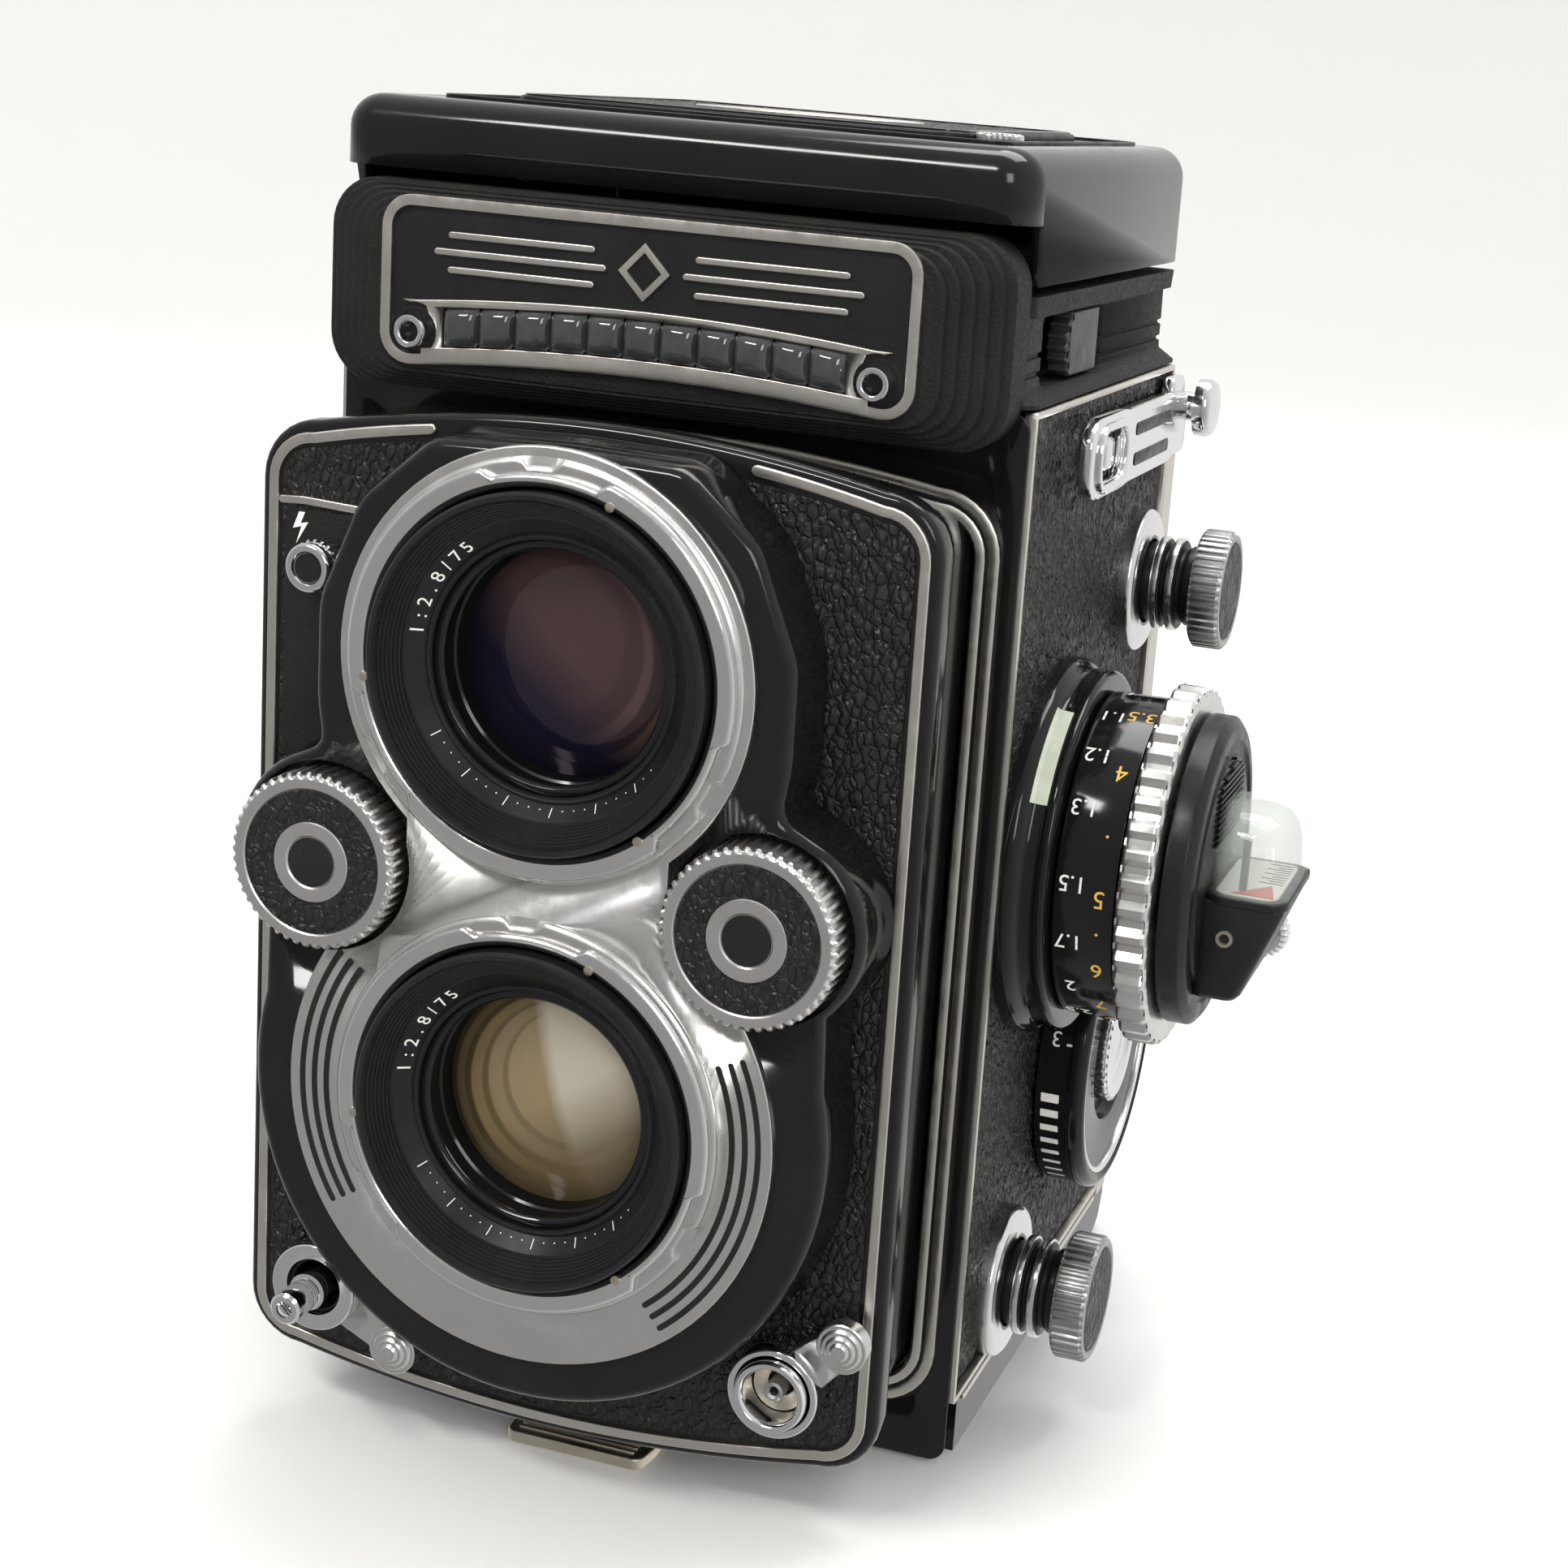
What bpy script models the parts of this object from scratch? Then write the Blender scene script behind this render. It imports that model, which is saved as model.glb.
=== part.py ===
"""Twin lens reflex camera, folded hood, front standard part extended.

World frame: +Z up, lenses face -Y, focus knob on +X. Dimensions are millimetres
measured from the body front plane (Y=0), body centre (X=0) and base (Z=0); the
finished assembly is shifted so the origin is the centre of the base of its box.
"""
import math

import bmesh
import bpy
from mathutils import Matrix, Vector

MM = 0.001

# body
SIDE_X = 39.4
CASTING_HALF_W = 38.5
BODY_REAR_Y = 64.6
DOOR_REAR_Y = 70.9
BODY_TOP_Z = 119.5
DOOR_RIM_Z = 7.0
LEATHER_X = (38.8, 39.4)

# optics
VIEW_Z = 92.1
TAKE_Z = 45.4
BOARD_FRONT_Y = -20.2
BOARD_BACK_Y = -16.6
MASK_FRONT_Y = -28.4
BARREL_FRONT_Y = -31.9
MASK_R = 32.3
BAYONET_R = 21.0
GLASS_R = 13.0

# controls on the front standard
WHEEL_X = 23.9
WHEEL_Z = 69.3
WHEEL_R = 9.4
CORNER_X = 27.0
CORNER_Z = 18.0

# spools and their knobs
TAKEUP_YZ = (53.2, 93.6)
FEED_YZ = (16.1, 15.9)
SPOOL_FLANGE_R = 12.3
CHAMBER_R = 13.0

# right side
FOCUS_YZ = (22.5, 67.5)
DIAL_YZ = (43.5, 36.8)
DIAL_R = 18.0
MAX_X = 69.2

# left side
CRANK_YZ = (38.0, 64.0)
MIN_X = -52.2

# hood
HOOD_BASE_Z = (119.8, 131.2)
LID_HALF_W = 38.9
LID_Y = (-4.5, 66.6)
LID_Z = (131.9, 145.6)
TOP_Z = 146.6

SHIFT = Vector((-(MAX_X + MIN_X) / 2, -(DOOR_REAR_Y + BARREL_FRONT_Y) / 2, 0.0))

MATERIALS = {
    "black_enamel": ((0.012, 0.012, 0.013, 1), 0.0, 0.25),
    "black_matt": ((0.02, 0.02, 0.02, 1), 0.0, 0.6),
    "black_leather": ((0.018, 0.018, 0.018, 1), 0.0, 0.55),
    "chrome": ((0.75, 0.75, 0.76, 1), 1.0, 0.12),
    "satin_silver": ((0.62, 0.62, 0.61, 1), 1.0, 0.35),
    "cast_aluminium": ((0.35, 0.35, 0.36, 1), 1.0, 0.5),
    "brass_worn": ((0.6, 0.52, 0.38, 1), 1.0, 0.4),
    "lens_glass_violet": ((0.12, 0.07, 0.12, 1), 0.0, 0.03),
    "lens_glass_amber": ((0.35, 0.27, 0.16, 1), 0.0, 0.03),
    "clear_plastic": ((0.8, 0.82, 0.8, 1), 0.0, 0.05),
    "ground_glass": ((0.75, 0.77, 0.75, 1), 0.0, 0.4),
    "mirror": ((0.85, 0.87, 0.88, 1), 1.0, 0.03),
    "red_paint": ((0.7, 0.08, 0.04, 1), 0.0, 0.4),
    "spool_plastic": ((0.03, 0.03, 0.03, 1), 0.0, 0.45),
}


def clear_scene():
    for obj in list(bpy.data.objects):
        bpy.data.objects.remove(obj, do_unlink=True)


def material(name):
    found = bpy.data.materials.get(name)
    if found:
        return found
    color, metallic, rough = MATERIALS[name]
    made = bpy.data.materials.new(name)
    made.use_nodes = True
    shader = made.node_tree.nodes["Principled BSDF"]
    shader.inputs["Base Color"].default_value = color
    shader.inputs["Metallic"].default_value = metallic
    shader.inputs["Roughness"].default_value = rough
    made.diffuse_color = color
    return made


def make(name, bm, mat, pivot=(0, 0, 0)):
    bmesh.ops.remove_doubles(bm, verts=bm.verts, dist=1e-5)
    bmesh.ops.recalc_face_normals(bm, faces=bm.faces)
    origin = Vector(pivot)
    for vert in bm.verts:
        vert.co = (vert.co - origin) * MM
    mesh = bpy.data.meshes.new(name)
    bm.to_mesh(mesh)
    bm.free()
    obj = bpy.data.objects.new(name, mesh)
    obj.location = (origin + SHIFT) * MM
    bpy.context.scene.collection.objects.link(obj)
    if mat:
        obj.data.materials.append(material(mat))
    return obj


def to_world(axis, a, b, h):
    if axis == "x":
        return (h, a, b)
    if axis == "y":
        return (a, h, b)
    return (a, b, h)


def loft(bm, loops, closed=False):
    """Joins equal-length loops of points with quads; ends are capped unless closed."""
    rings = [[bm.verts.new(point) for point in loop] for loop in loops]
    count = len(rings[0])
    pairs = list(zip(rings, rings[1:]))
    if closed:
        pairs.append((rings[-1], rings[0]))
    for low, high in pairs:
        for i in range(count):
            j = (i + 1) % count
            bm.faces.new((low[i], low[j], high[j], high[i]))
    if not closed:
        bm.faces.new(list(reversed(rings[0])))
        bm.faces.new(rings[-1])


def circle(radius, count, centre=(0, 0)):
    step = 2 * math.pi / count
    return [(centre[0] + radius * math.cos(i * step), centre[1] + radius * math.sin(i * step))
            for i in range(count)]


def turned(name, centre, axis, profile, mat, count=32, pivot=None, ring=False):
    """Revolves (radius, height) steps about an axis through centre."""
    bm = bmesh.new()
    loops = []
    for radius, height in profile:
        loops.append([to_world(axis, a, b, height) for a, b in circle(radius, count, centre)])
    loft(bm, loops, closed=ring)
    return make(name, bm, mat, pivot or (0, 0, 0))


def prism(name, outline, axis, low, high, mat, pivot=None):
    bm = bmesh.new()
    loft(bm, [[to_world(axis, a, b, h) for a, b in outline] for h in (low, high)])
    return make(name, bm, mat, pivot or (0, 0, 0))


def frame_prism(name, outer, inner, axis, low, high, mat, pivot=None):
    bm = bmesh.new()
    steps = ((outer, low), (outer, high), (inner, high), (inner, low))
    loft(bm, [[to_world(axis, a, b, h) for a, b in line] for line, h in steps], closed=True)
    return make(name, bm, mat, pivot or (0, 0, 0))


def box(name, xs, ys, zs, mat, bevel=0.0, pivot=None, segments=2):
    outline = [(xs[0], ys[0]), (xs[1], ys[0]), (xs[1], ys[1]), (xs[0], ys[1])]
    obj = prism(name, outline, "z", zs[0], zs[1], mat, pivot)
    if bevel:
        add_bevel(obj, bevel, segments)
    return obj


def add_bevel(obj, width, segments=2, angle=40):
    mod = obj.modifiers.new("edge", "BEVEL")
    mod.width = width * MM
    mod.segments = segments
    mod.limit_method = "ANGLE"
    mod.angle_limit = math.radians(angle)


def boolean(obj, tool, operation):
    mod = obj.modifiers.new(operation.lower(), "BOOLEAN")
    mod.solver = "EXACT"
    mod.operation = operation
    mod.object = tool
    tool.hide_render = True
    tool.display_type = "WIRE"


def cut(obj, *tools):
    for tool in tools:
        boolean(obj, tool, "DIFFERENCE")


def join(obj, *tools):
    for tool in tools:
        boolean(obj, tool, "UNION")


def barrel_outline(half_w, low_mid, low_side, high_side, high_mid, corner, steps=8, arc=4):
    """Straight sides, arched bottom and top, rounded corners, in (x, z)."""
    reach = half_w - corner
    right = []
    for i in range(steps + 1):
        x = reach * i / steps
        right.append((x, low_mid + (low_side - low_mid) * (x / half_w) ** 2))
    base = right[-1][1] + corner
    for i in range(1, arc + 1):
        t = math.pi / 2 * i / arc
        right.append((reach + corner * math.sin(t), base - corner * math.cos(t)))
    upper = []
    for i in range(steps + 1):
        x = reach * i / steps
        upper.append((x, high_mid - (high_mid - high_side) * (x / half_w) ** 2))
    base = upper[-1][1] - corner
    for i in range(1, arc + 1):
        t = math.pi / 2 * i / arc
        upper.append((reach + corner * math.sin(t), base + corner * math.cos(t)))
    right += list(reversed(upper))
    left = [(-x, z) for x, z in reversed(right[1:-1])]
    return right + left


def rounded_rect(a0, a1, b0, b1, radius, arc=4):
    points = []
    corners = ((a1 - radius, b0 + radius, -90), (a1 - radius, b1 - radius, 0))
    corners += ((a0 + radius, b1 - radius, 90), (a0 + radius, b0 + radius, 180))
    for ca, cb, start in corners:
        for i in range(arc + 1):
            t = math.radians(start + 90 * i / arc)
            points.append((ca + radius * math.cos(t), cb + radius * math.sin(t)))
    return points


# ---------------------------------------------------------------- body
def skirt_outline(grow):
    return barrel_outline(34.3 + grow, 7.6 - grow, 10.6 - grow, 108.0 + grow, 111.4 + grow, 5.0 + grow)


def body_casting():
    lower = prism("cut_front_block", rounded_rect(-CASTING_HALF_W, CASTING_HALF_W, 0.3, BODY_TOP_Z, 2.0, 3),
            "y", 0, 3.1, "black_enamel")
    main = box("body_casting", (-CASTING_HALF_W, CASTING_HALF_W), (1.0, BODY_REAR_Y),
            (DOOR_RIM_Z + 0.3, BODY_TOP_Z), "black_enamel")
    join(main, lower)
    for number, (y, z) in enumerate((TAKEUP_YZ, FEED_YZ)):
        tool = turned(f"cut_flange_{number}", (y, z), "x", ((8.5, 36.0), (8.5, 40.8), (7.4, 41.6)),
                "chrome", 24)
        join(main, tool)
    mirror_room = [(9, 121), (9, 73.5), (12, 71.5), (53.5, 113), (59, 113), (59, 121)]
    cut(main, prism("cut_mirror_room", mirror_room, "x", -30, 30, None))
    cut(main, turned("cut_view_port", (0, VIEW_Z), "y", ((15.5, -1), (15.5, 10)), None, 24))
    cut(main, box("cut_dark_front", (-24, 24), (-1, 32), (31.4, 61), None))
    cut(main, box("cut_dark_rear", (-28, 28), (31, 66), (16, 72), None))
    y, z = TAKEUP_YZ
    cut(main, turned("cut_takeup_room", (y, z), "x", ((CHAMBER_R, -32), (CHAMBER_R, 32)), None, 24))
    cut(main, box("cut_takeup_mouth", (-32, 32), (y, 66), (z - 12.6, z + 12.6), None))
    y, z = FEED_YZ
    cut(main, turned("cut_feed_room", (y, z), "x", ((CHAMBER_R, -32), (CHAMBER_R, 32)), None, 24))
    cut(main, box("cut_feed_mouth", (-32, 32), (y - 12.6, y + 12.6), (4, z), None))
    for number, (y, z) in enumerate((TAKEUP_YZ, FEED_YZ)):
        cut(main, turned(f"cut_stem_bore_{number}", (y, z), "x", ((5.3, 31), (5.3, 43)), None, 24))
    deep = frame_prism("cut_skirt_slot", skirt_outline(0.4), skirt_outline(-2.0), "y", -1, 7.8, None)
    cut(deep, box("cut_slot_floor", (-33.1, 33.1), (2.6, 9), (0, 19), None))
    cut(main, deep)
    cut(main, box("cut_latch_notch", (-9.6, 11.6), (-1, 4), (-1, 2.5), None))
    return main


def side_leather(name, sign):
    xs = sorted((sign * LEATHER_X[0], sign * LEATHER_X[1]))
    sheet = prism(name, rounded_rect(1.6, 63.9, 8.0, 118.6, 1.0, 2), "x", xs[0], xs[1], "black_leather")
    if sign > 0:
        for number, (y, z) in enumerate((TAKEUP_YZ, FEED_YZ)):
            cut(sheet, turned(f"cut_leather_{number}", (y, z), "x", ((8.9, 36), (8.9, 43)), None, 24))
    return sheet


def front_trim_frame():
    outer = barrel_outline(37.5, 4.6, 8.0, 109.4, 113.2, 7.0)
    inner = barrel_outline(34.9, 6.9, 10.0, 108.6, 112.1, 5.6)
    return frame_prism("front_trim_frame", outer, inner, "y", -0.9, -0.3, "satin_silver")


def strap_lug(name, sign):
    def span(a, b):
        return tuple(sorted((sign * a, sign * b)))
    plate = box(name, span(39.8, 41.7), (30.0, 63.0), (108.8, 117.2), "chrome", 0.3)
    loop = [(12.0, 39.8), (12.0, 42.2), (15.0, 44.9), (30.0, 44.9), (34.0, 41.5), (34.0, 39.8)]
    ring = prism("cut_ring_" + name, [(sign * x, y) for y, x in loop], "z", 109.2, 117.8, "chrome")
    stud = turned("cut_stud_" + name, (61.2, 115.6), "x",
            ((3.2, span(39.9, 44.3)[0]), (3.2, span(39.9, 44.3)[1])), "chrome", 16)
    join(plate, ring, stud)
    cut(plate, box("cut_loop_" + name, span(41.1, 43.7), (15.6, 28.4), (100, 125), None))
    return plate


# ---------------------------------------------------------------- nameplate and meter cell
def nameplate_housing():
    bm = bmesh.new()
    steps = ((38.4, 115.0, 137.0, -0.4), (38.4, 115.0, 137.0, -5.6), (36.0, 115.4, 136.9, -6.2))
    steps += ((34.2, 115.6, 136.8, -8.0), (32.4, 116.0, 136.7, -8.4), (31.4, 116.2, 136.6, -9.2))
    loft(bm, [[(a, y, b) for a, b in rounded_rect(-half, half, low, high, 3.6, 4)] for half, low, high,
            y in steps])
    return make("nameplate_housing", bm, "black_matt")


def arched_band(half, low, high, rise, steps=8):
    points = [(half * (2 * i / steps - 1), low + rise * (1 - (2 * i / steps - 1) ** 2))
            for i in range(steps + 1)]
    back = [(half * (1 - 2 * i / steps), high + rise * (1 - (1 - 2 * i / steps) ** 2))
            for i in range(steps + 1)]
    return points + back


def nameplate_fittings():
    outer = rounded_rect(-29.9, 29.9, 118.0, 135.8, 3.4, 4)
    inner = rounded_rect(-28.7, 28.7, 119.2, 134.6, 2.4, 4)
    frame_prism("nameplate_frame", outer, inner, "y", -10.1, -9.5, "satin_silver")
    prism("meter_cell_window", arched_band(22.5, 119.6, 124.3, 0.5), "y", -10.8, -9.5, "clear_plastic")
    for name, sign in (("left", -1), ("right", 1)):
        turned("meter_post_" + name, (sign * 25.8, 121.7), "y", ((1.7, -11.8), (1.7, -9.5)), "chrome", 16)


# ---------------------------------------------------------------- hood
def hood_base():
    frame = box("hood_base_frame", (-37.8, 37.8), (0.2, 64.4), HOOD_BASE_Z, "black_matt", 0.5)
    cut(frame, box("cut_hood_well", (-31.5, 31.5), (9.0, 60.0), (123.0, 135), None))
    cut(frame, box("cut_hood_light", (-28.5, 28.5), (12.0, 57.0), (110, 125), None))
    for number, sign in enumerate((-1, 1)):
        xs = sorted((sign * 34.5, sign * 40))
        cut(frame, box(f"cut_release_bay_{number}", xs, (7.0, 34.0), (120.4, 129.4), None))
    box("focusing_screen", (-31.1, 31.1), (9.4, 59.6), (123.4, 125.0), "ground_glass")
    glass = box("reflex_mirror", (-28, 28), (-26.5, 26.5), (-0.8, 0.8), "mirror", pivot=(0, 0, 0))
    glass.rotation_euler = (math.radians(45), 0, 0)
    glass.location = (Vector((0, 31.2, 94.3)) + SHIFT) * MM


def hood_release():
    grip = box("hood_release", (36.0, 38.6), (16.0, 29.0), (121.2, 128.6), "chrome", 0.4)
    return grip


def hood_lid():
    x, (y0, y1), (z0, z1) = LID_HALF_W, LID_Y, LID_Z
    pivot = (0, -2.0, 141.0)
    lid = prism("hood_lid", [(-x, y0), (x, y0), (x, y1), (-x, y1)], "z", z0 - 6, z1, "black_enamel", pivot)
    add_bevel(lid, 2.6, 3)
    cut(lid, box("cut_lid_base", (-60, 60), (-20, 90), (z0 - 12, z0), None))
    cut(lid, box("cut_lid_room", (-x + 1.4, x - 1.4), (y0 + 1.6, y1 - 1.4), (z0 - 14, z1 - 1.7), None))
    front = [(y0 - 3, z0 - 14), (1.0, z0 - 14), (1.0, 134.5), (0.2, 138.2), (y0 - 3, 138.2)]
    cut(lid, prism("cut_lid_front", front, "x", -60, 60, None))
    cut(lid, prism("cut_flap_seat", rounded_rect(-27.0, 27.0, 11.0, 59.7, 4.0, 3), "z", z1 - 0.7, z1 + 4,
            None))
    flap_pivot = (0, 58.0, z1 + 0.1)
    prism("finder_flap", rounded_rect(-26.6, 26.6, 11.4, 58.6, 3.6, 3), "z", z1 - 0.3, TOP_Z,
            "black_leather", flap_pivot)
    return lid


def hood_walls():
    shape = [(5.0, 0.0), (5.0, 19.0), (16.0, 33.0), (33.0, 34.0), (61.0, 6.0), (61.0, 0.0)]
    for name, sign in (("hood_side_left", -1), ("hood_side_right", 1)):
        outline = [(sign * (36.5 - s), y) for y, s in shape]
        prism(name, outline, "z", 132.2, 133.0, "black_matt", (sign * 36.5, 33.0, 132.6))
    prism("hood_back", rounded_rect(-33.0, 33.0, 37.0, 64.4, 2.0, 2), "z", 136.0, 136.8, "black_matt",
            (0, 64.0, 136.4))
    outer = rounded_rect(-20.0, 20.0, 27.6, 62.0, 3.0, 3)
    frame = prism("magnifier_frame", outer, "z", 139.0, 140.2, "black_matt", (0, 28.0, 141.4))
    join(frame, box("cut_magnifier_arm", (-16.0, 16.0), (27.0, 29.0), (139.4, 142.0), "black_matt"))
    cut(frame, turned("cut_magnifier_hole", (0, 45.0), "z", ((13.4, 130), (13.4, 150)), None, 24))
    turned("magnifier_lens", (0, 45.0), "z", ((9.0, 138.2), (13.0, 139.2), (13.0, 140.0), (9.0, 141.0)),
            "clear_plastic", 24)


# ---------------------------------------------------------------- front standard
def lens_board():
    rim = barrel_outline(37.4, 5.2, 9.6, 111.2, 115.8, 6.4)
    board = prism("lens_board", rim, "y", BOARD_FRONT_Y, BOARD_BACK_Y, "black_enamel")
    add_bevel(board, 0.8, 2, 50)
    skirt = frame_prism("cut_skirt", skirt_outline(0), skirt_outline(-1.6), "y", BOARD_BACK_Y - 0.6, 2.6,
            "black_enamel")
    cut(skirt, box("cut_skirt_floor", (-33.5, 33.5), (-2.4, 9), (0, 19.6), None))
    join(board, skirt)
    cut(board, turned("cut_release_bore", (-CORNER_X, CORNER_Z), "y", ((3.1, -24), (3.1, -12)), None, 18))
    for number, z in enumerate((VIEW_Z, TAKE_Z)):
        cut(board, turned(f"cut_board_hole_{number}", (0, z), "y", ((14.0, -24), (14.0, -12)), None, 22))
    return board


def mask_outline():
    right = [(0, TAKE_Z - MASK_R)]
    for deg in range(-75, 20, 15):
        t = math.radians(deg)
        right.append((MASK_R * math.cos(t), TAKE_Z + MASK_R * math.sin(t)))
    for deg in (-45, -20, 5, 30, 55):
        t = math.radians(deg)
        right.append((WHEEL_X + 10.6 * math.cos(t), WHEEL_Z + 10.6 * math.sin(t)))
    right += [(25.4, 80.6), (25.9, 85), (25.9, 95.5), (21.3, 106.5), (13.5, 113.6), (0, 114.0)]
    return right + [(-x, z) for x, z in reversed(right[1:-1])]


def plate_outline():
    right = [(0, TAKE_Z - 27.2)]
    for deg in range(-78, 50, 12):
        t = math.radians(deg)
        right.append((27.2 * math.cos(t), TAKE_Z + 27.2 * math.sin(t)))
    right += [(14.4, 68.4), (14.2, 72.8)]
    for deg in range(-48, 90, 12):
        t = math.radians(deg)
        right.append((22.2 * math.cos(t), VIEW_Z + 22.2 * math.sin(t)))
    right.append((0, VIEW_Z + 22.2))
    return right + [(-x, z) for x, z in reversed(right[1:-1])]


def wheel_tools(name, low, high):
    tools = []
    for sign in (-1, 1):
        tools.append(turned(f"cut_{name}_{sign + 1}", (sign * WHEEL_X, WHEEL_Z), "y",
                ((10.0, low), (10.0, high)), None, 24))
    return tools


def lens_tools(name, radius, low, high):
    return [turned(f"cut_{name}_{int(z)}", (0, z), "y", ((radius, low), (radius, high)), None, 32)
            for z in (VIEW_Z, TAKE_Z)]


def masks():
    mask = prism("lens_mask", mask_outline(), "y", MASK_FRONT_Y, BOARD_FRONT_Y - 0.3, "black_enamel")
    cut(mask, *lens_tools("mask_bore", 18.6, -34, -10), *wheel_tools("mask_wheel", -34, -24.9))
    plate = prism("face_plate", plate_outline(), "y", MASK_FRONT_Y - 0.9, MASK_FRONT_Y - 0.3,
            "satin_silver")
    cut(plate, *lens_tools("plate_bore", 18.6, -34, -10), *wheel_tools("plate_wheel", -34, -20))


def lens_set(label, z, glass):
    ring = ((BAYONET_R - 0.4, -29.6), (BAYONET_R, -30.0), (BAYONET_R, -30.6), (BAYONET_R - 0.4, -30.9))
    ring += ((18.6, -30.9), (18.6, -29.6))
    turned(label + "_bayonet_ring", (0, z), "y", ring, "satin_silver", 32, ring=True)
    tube = ((18.2, -20.5), (18.2, -31.6), (17.9, -31.9), (17.3, -31.9), (16.2, -29.5), (14.6, -27.1),
            (13.4, -26.1), (13.4, -20.5))
    turned(label + "_lens_barrel", (0, z), "y", tube, "black_matt", 32, ring=True)
    turned(label + "_front_element", (0, z), "y",
            ((GLASS_R, -21.0), (GLASS_R, -24.7), (9.0, -25.9), (4.0, -26.4)), glass, 32)


def wheels():
    profile = ((7.0, -25.3), (WHEEL_R - 0.4, -25.3), (WHEEL_R, -25.7), (WHEEL_R, -31.2),
            (WHEEL_R - 0.5, -31.7), (3.0, -31.7))
    for name, sign in (("aperture_wheel", -1), ("shutter_wheel", 1)):
        centre = (sign * WHEEL_X, WHEEL_Z)
        turned(name, centre, "y", profile, "satin_silver", 36, (centre[0], -28, centre[1]))


def lever(name, centre, tip, hub_r, bore_r, ys, mat):
    bar = turned(name, centre, "y", ((hub_r, ys[0]), (hub_r, ys[1])), mat, 24,
            (centre[0], ys[0], centre[1]))
    along = Vector((tip[0] - centre[0], tip[1] - centre[1])).normalized()
    side = Vector((-along.y, along.x)) * 2.0
    points = [Vector(centre) + side * 1.5, Vector(centre) - side * 1.5, Vector(tip) - side,
            Vector(tip) + side]
    join(bar, prism("cut_bar_" + name, [tuple(p) for p in points], "y", ys[0] + 0.1, ys[1] - 0.3, mat))
    join(bar, turned("cut_tip_" + name, tip, "y", ((2.6, ys[0] - 0.7), (2.6, ys[1] - 0.1)), mat, 16))
    cut(bar, turned("cut_bore_" + name, centre, "y", ((bore_r, -44), (bore_r, 0)), None, 24))
    return bar


def corner_controls():
    left = (-CORNER_X, CORNER_Z)
    right = (CORNER_X, CORNER_Z)
    lever("release_lock_lever", left, (-17.4, 12.4), 4.9, 3.1, (-23.9, -20.7), "chrome")
    button = ((2.1, -20.7), (2.6, -21.1), (2.6, -25.0), (1.9, -25.2), (1.9, -29.6), (1.5, -30.0))
    turned("release_button", left, "y", button, "chrome", 20, (left[0], -24, left[1]))
    lever("flash_lock_lever", right, (34.0, 24.4), 4.9, 4.1, (-23.9, -20.7), "chrome")
    socket = ((3.7, -20.7), (3.7, -24.9), (3.2, -25.3), (2.2, -25.3), (2.2, -22.1), (0.8, -21.9))
    turned("flash_socket", right, "y", socket, "chrome", 24)
    turned("sync_selector", (-29.3, 98.0), "y", ((2.8, -20.7), (2.8, -24.1), (2.4, -24.5)), "chrome", 20,
            (-29.3, -23, 98.0))


# ---------------------------------------------------------------- right side
def focus_group():
    y, z = FOCUS_YZ
    flange = turned("focus_flange", (y, z), "x", ((21.7, 39.8), (21.7, 41.5), (20.2, 42.1), (20.2, 44.7)),
            "black_enamel", 32)
    join(flange, turned("cut_focus_post", (y, z), "x", ((7.6, 42.3), (7.6, 59.3)), "black_enamel", 24))
    cut(flange, turned("cut_dial_seat", DIAL_YZ, "x", ((DIAL_R + 0.5, 36), (DIAL_R + 0.5, 52)), None, 32))
    drum = ((18.5, 45.1), (18.5, 52.0), (8.2, 52.0), (8.2, 45.1))
    turned("focus_drum", (y, z), "x", drum, "black_enamel", 32, (50, y, z), ring=True)
    grip = ((19.9, 52.3), (20.5, 52.7), (20.5, 55.7), (19.9, 56.1), (8.2, 56.1), (8.2, 52.3))
    turned("focus_grip_ring", (y, z), "x", grip, "satin_silver", 40, (50, y, z), ring=True)


def meter_group():
    y, z = FOCUS_YZ
    cap = ((17.6, 56.5), (17.6, 58.9), (16.6, 59.9), (3.0, 59.9))
    housing = turned("meter_housing", (y, z), "x", cap, "black_matt", 32)
    wedge = bmesh.new()
    levels = ((54.6, 64.0), (66.4, 68.4))
    loft(wedge, [[(58.3, y - 8.6, z), (reach, y - 8.6, z), (reach, y + 10.5, z), (58.3, y + 10.5, z)] for z,
            reach in levels])
    block = make("cut_wedge", wedge, "black_matt")
    join(housing, block)
    cut(housing, turned("cut_cap_bore", (y, z), "x", ((7.9, 54), (7.9, 59.6)), None, 24))
    cut(housing, prism("cut_scale_room", [(59.9, y - 7.0), (65.9, y - 7.0), (65.9, y + 7.0),
            (59.9, y + 7.0)], "z", 63.0, 70, None))
    outline = rounded_rect(y - 8.4, y + 8.4, 66.8, 76.4, 3.4, 3)
    window = prism("meter_window", outline, "x", 60.3, MAX_X, "clear_plastic")
    add_bevel(window, 1.2, 2, 60)
    cut(window, box("cut_window_room", (61.1, MAX_X - 1.0), (y - 7.2, y + 7.2), (60, 75.2), None))
    box("meter_needle", (62.9, 63.7), (y - 5.5, y - 4.7), (63.8, 73.6), "red_paint",
            pivot=(63.3, y - 5.1, 64.0))
    knob = ((3.2, y + 10.9), (3.2, y + 13.2), (2.8, y + 13.6))
    turned("meter_side_knob", (63.3, 57.5), "y", knob, "satin_silver", 20, (63.3, y + 12, 57.5))


def exposure_dial():
    profile = ((DIAL_R - 0.4, 39.8), (DIAL_R - 0.4, 43.9), (DIAL_R, 44.2), (DIAL_R, 45.3),
            (DIAL_R - 0.5, 45.7), (13.2, 45.7))
    profile += ((13.0, 44.5), (7.4, 44.5), (7.2, 45.9), (6.2, 45.9), (6.0, 44.7), (2.0, 44.7))
    turned("film_speed_dial", DIAL_YZ, "x", profile, "black_enamel", 32, (42, *DIAL_YZ))


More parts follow.
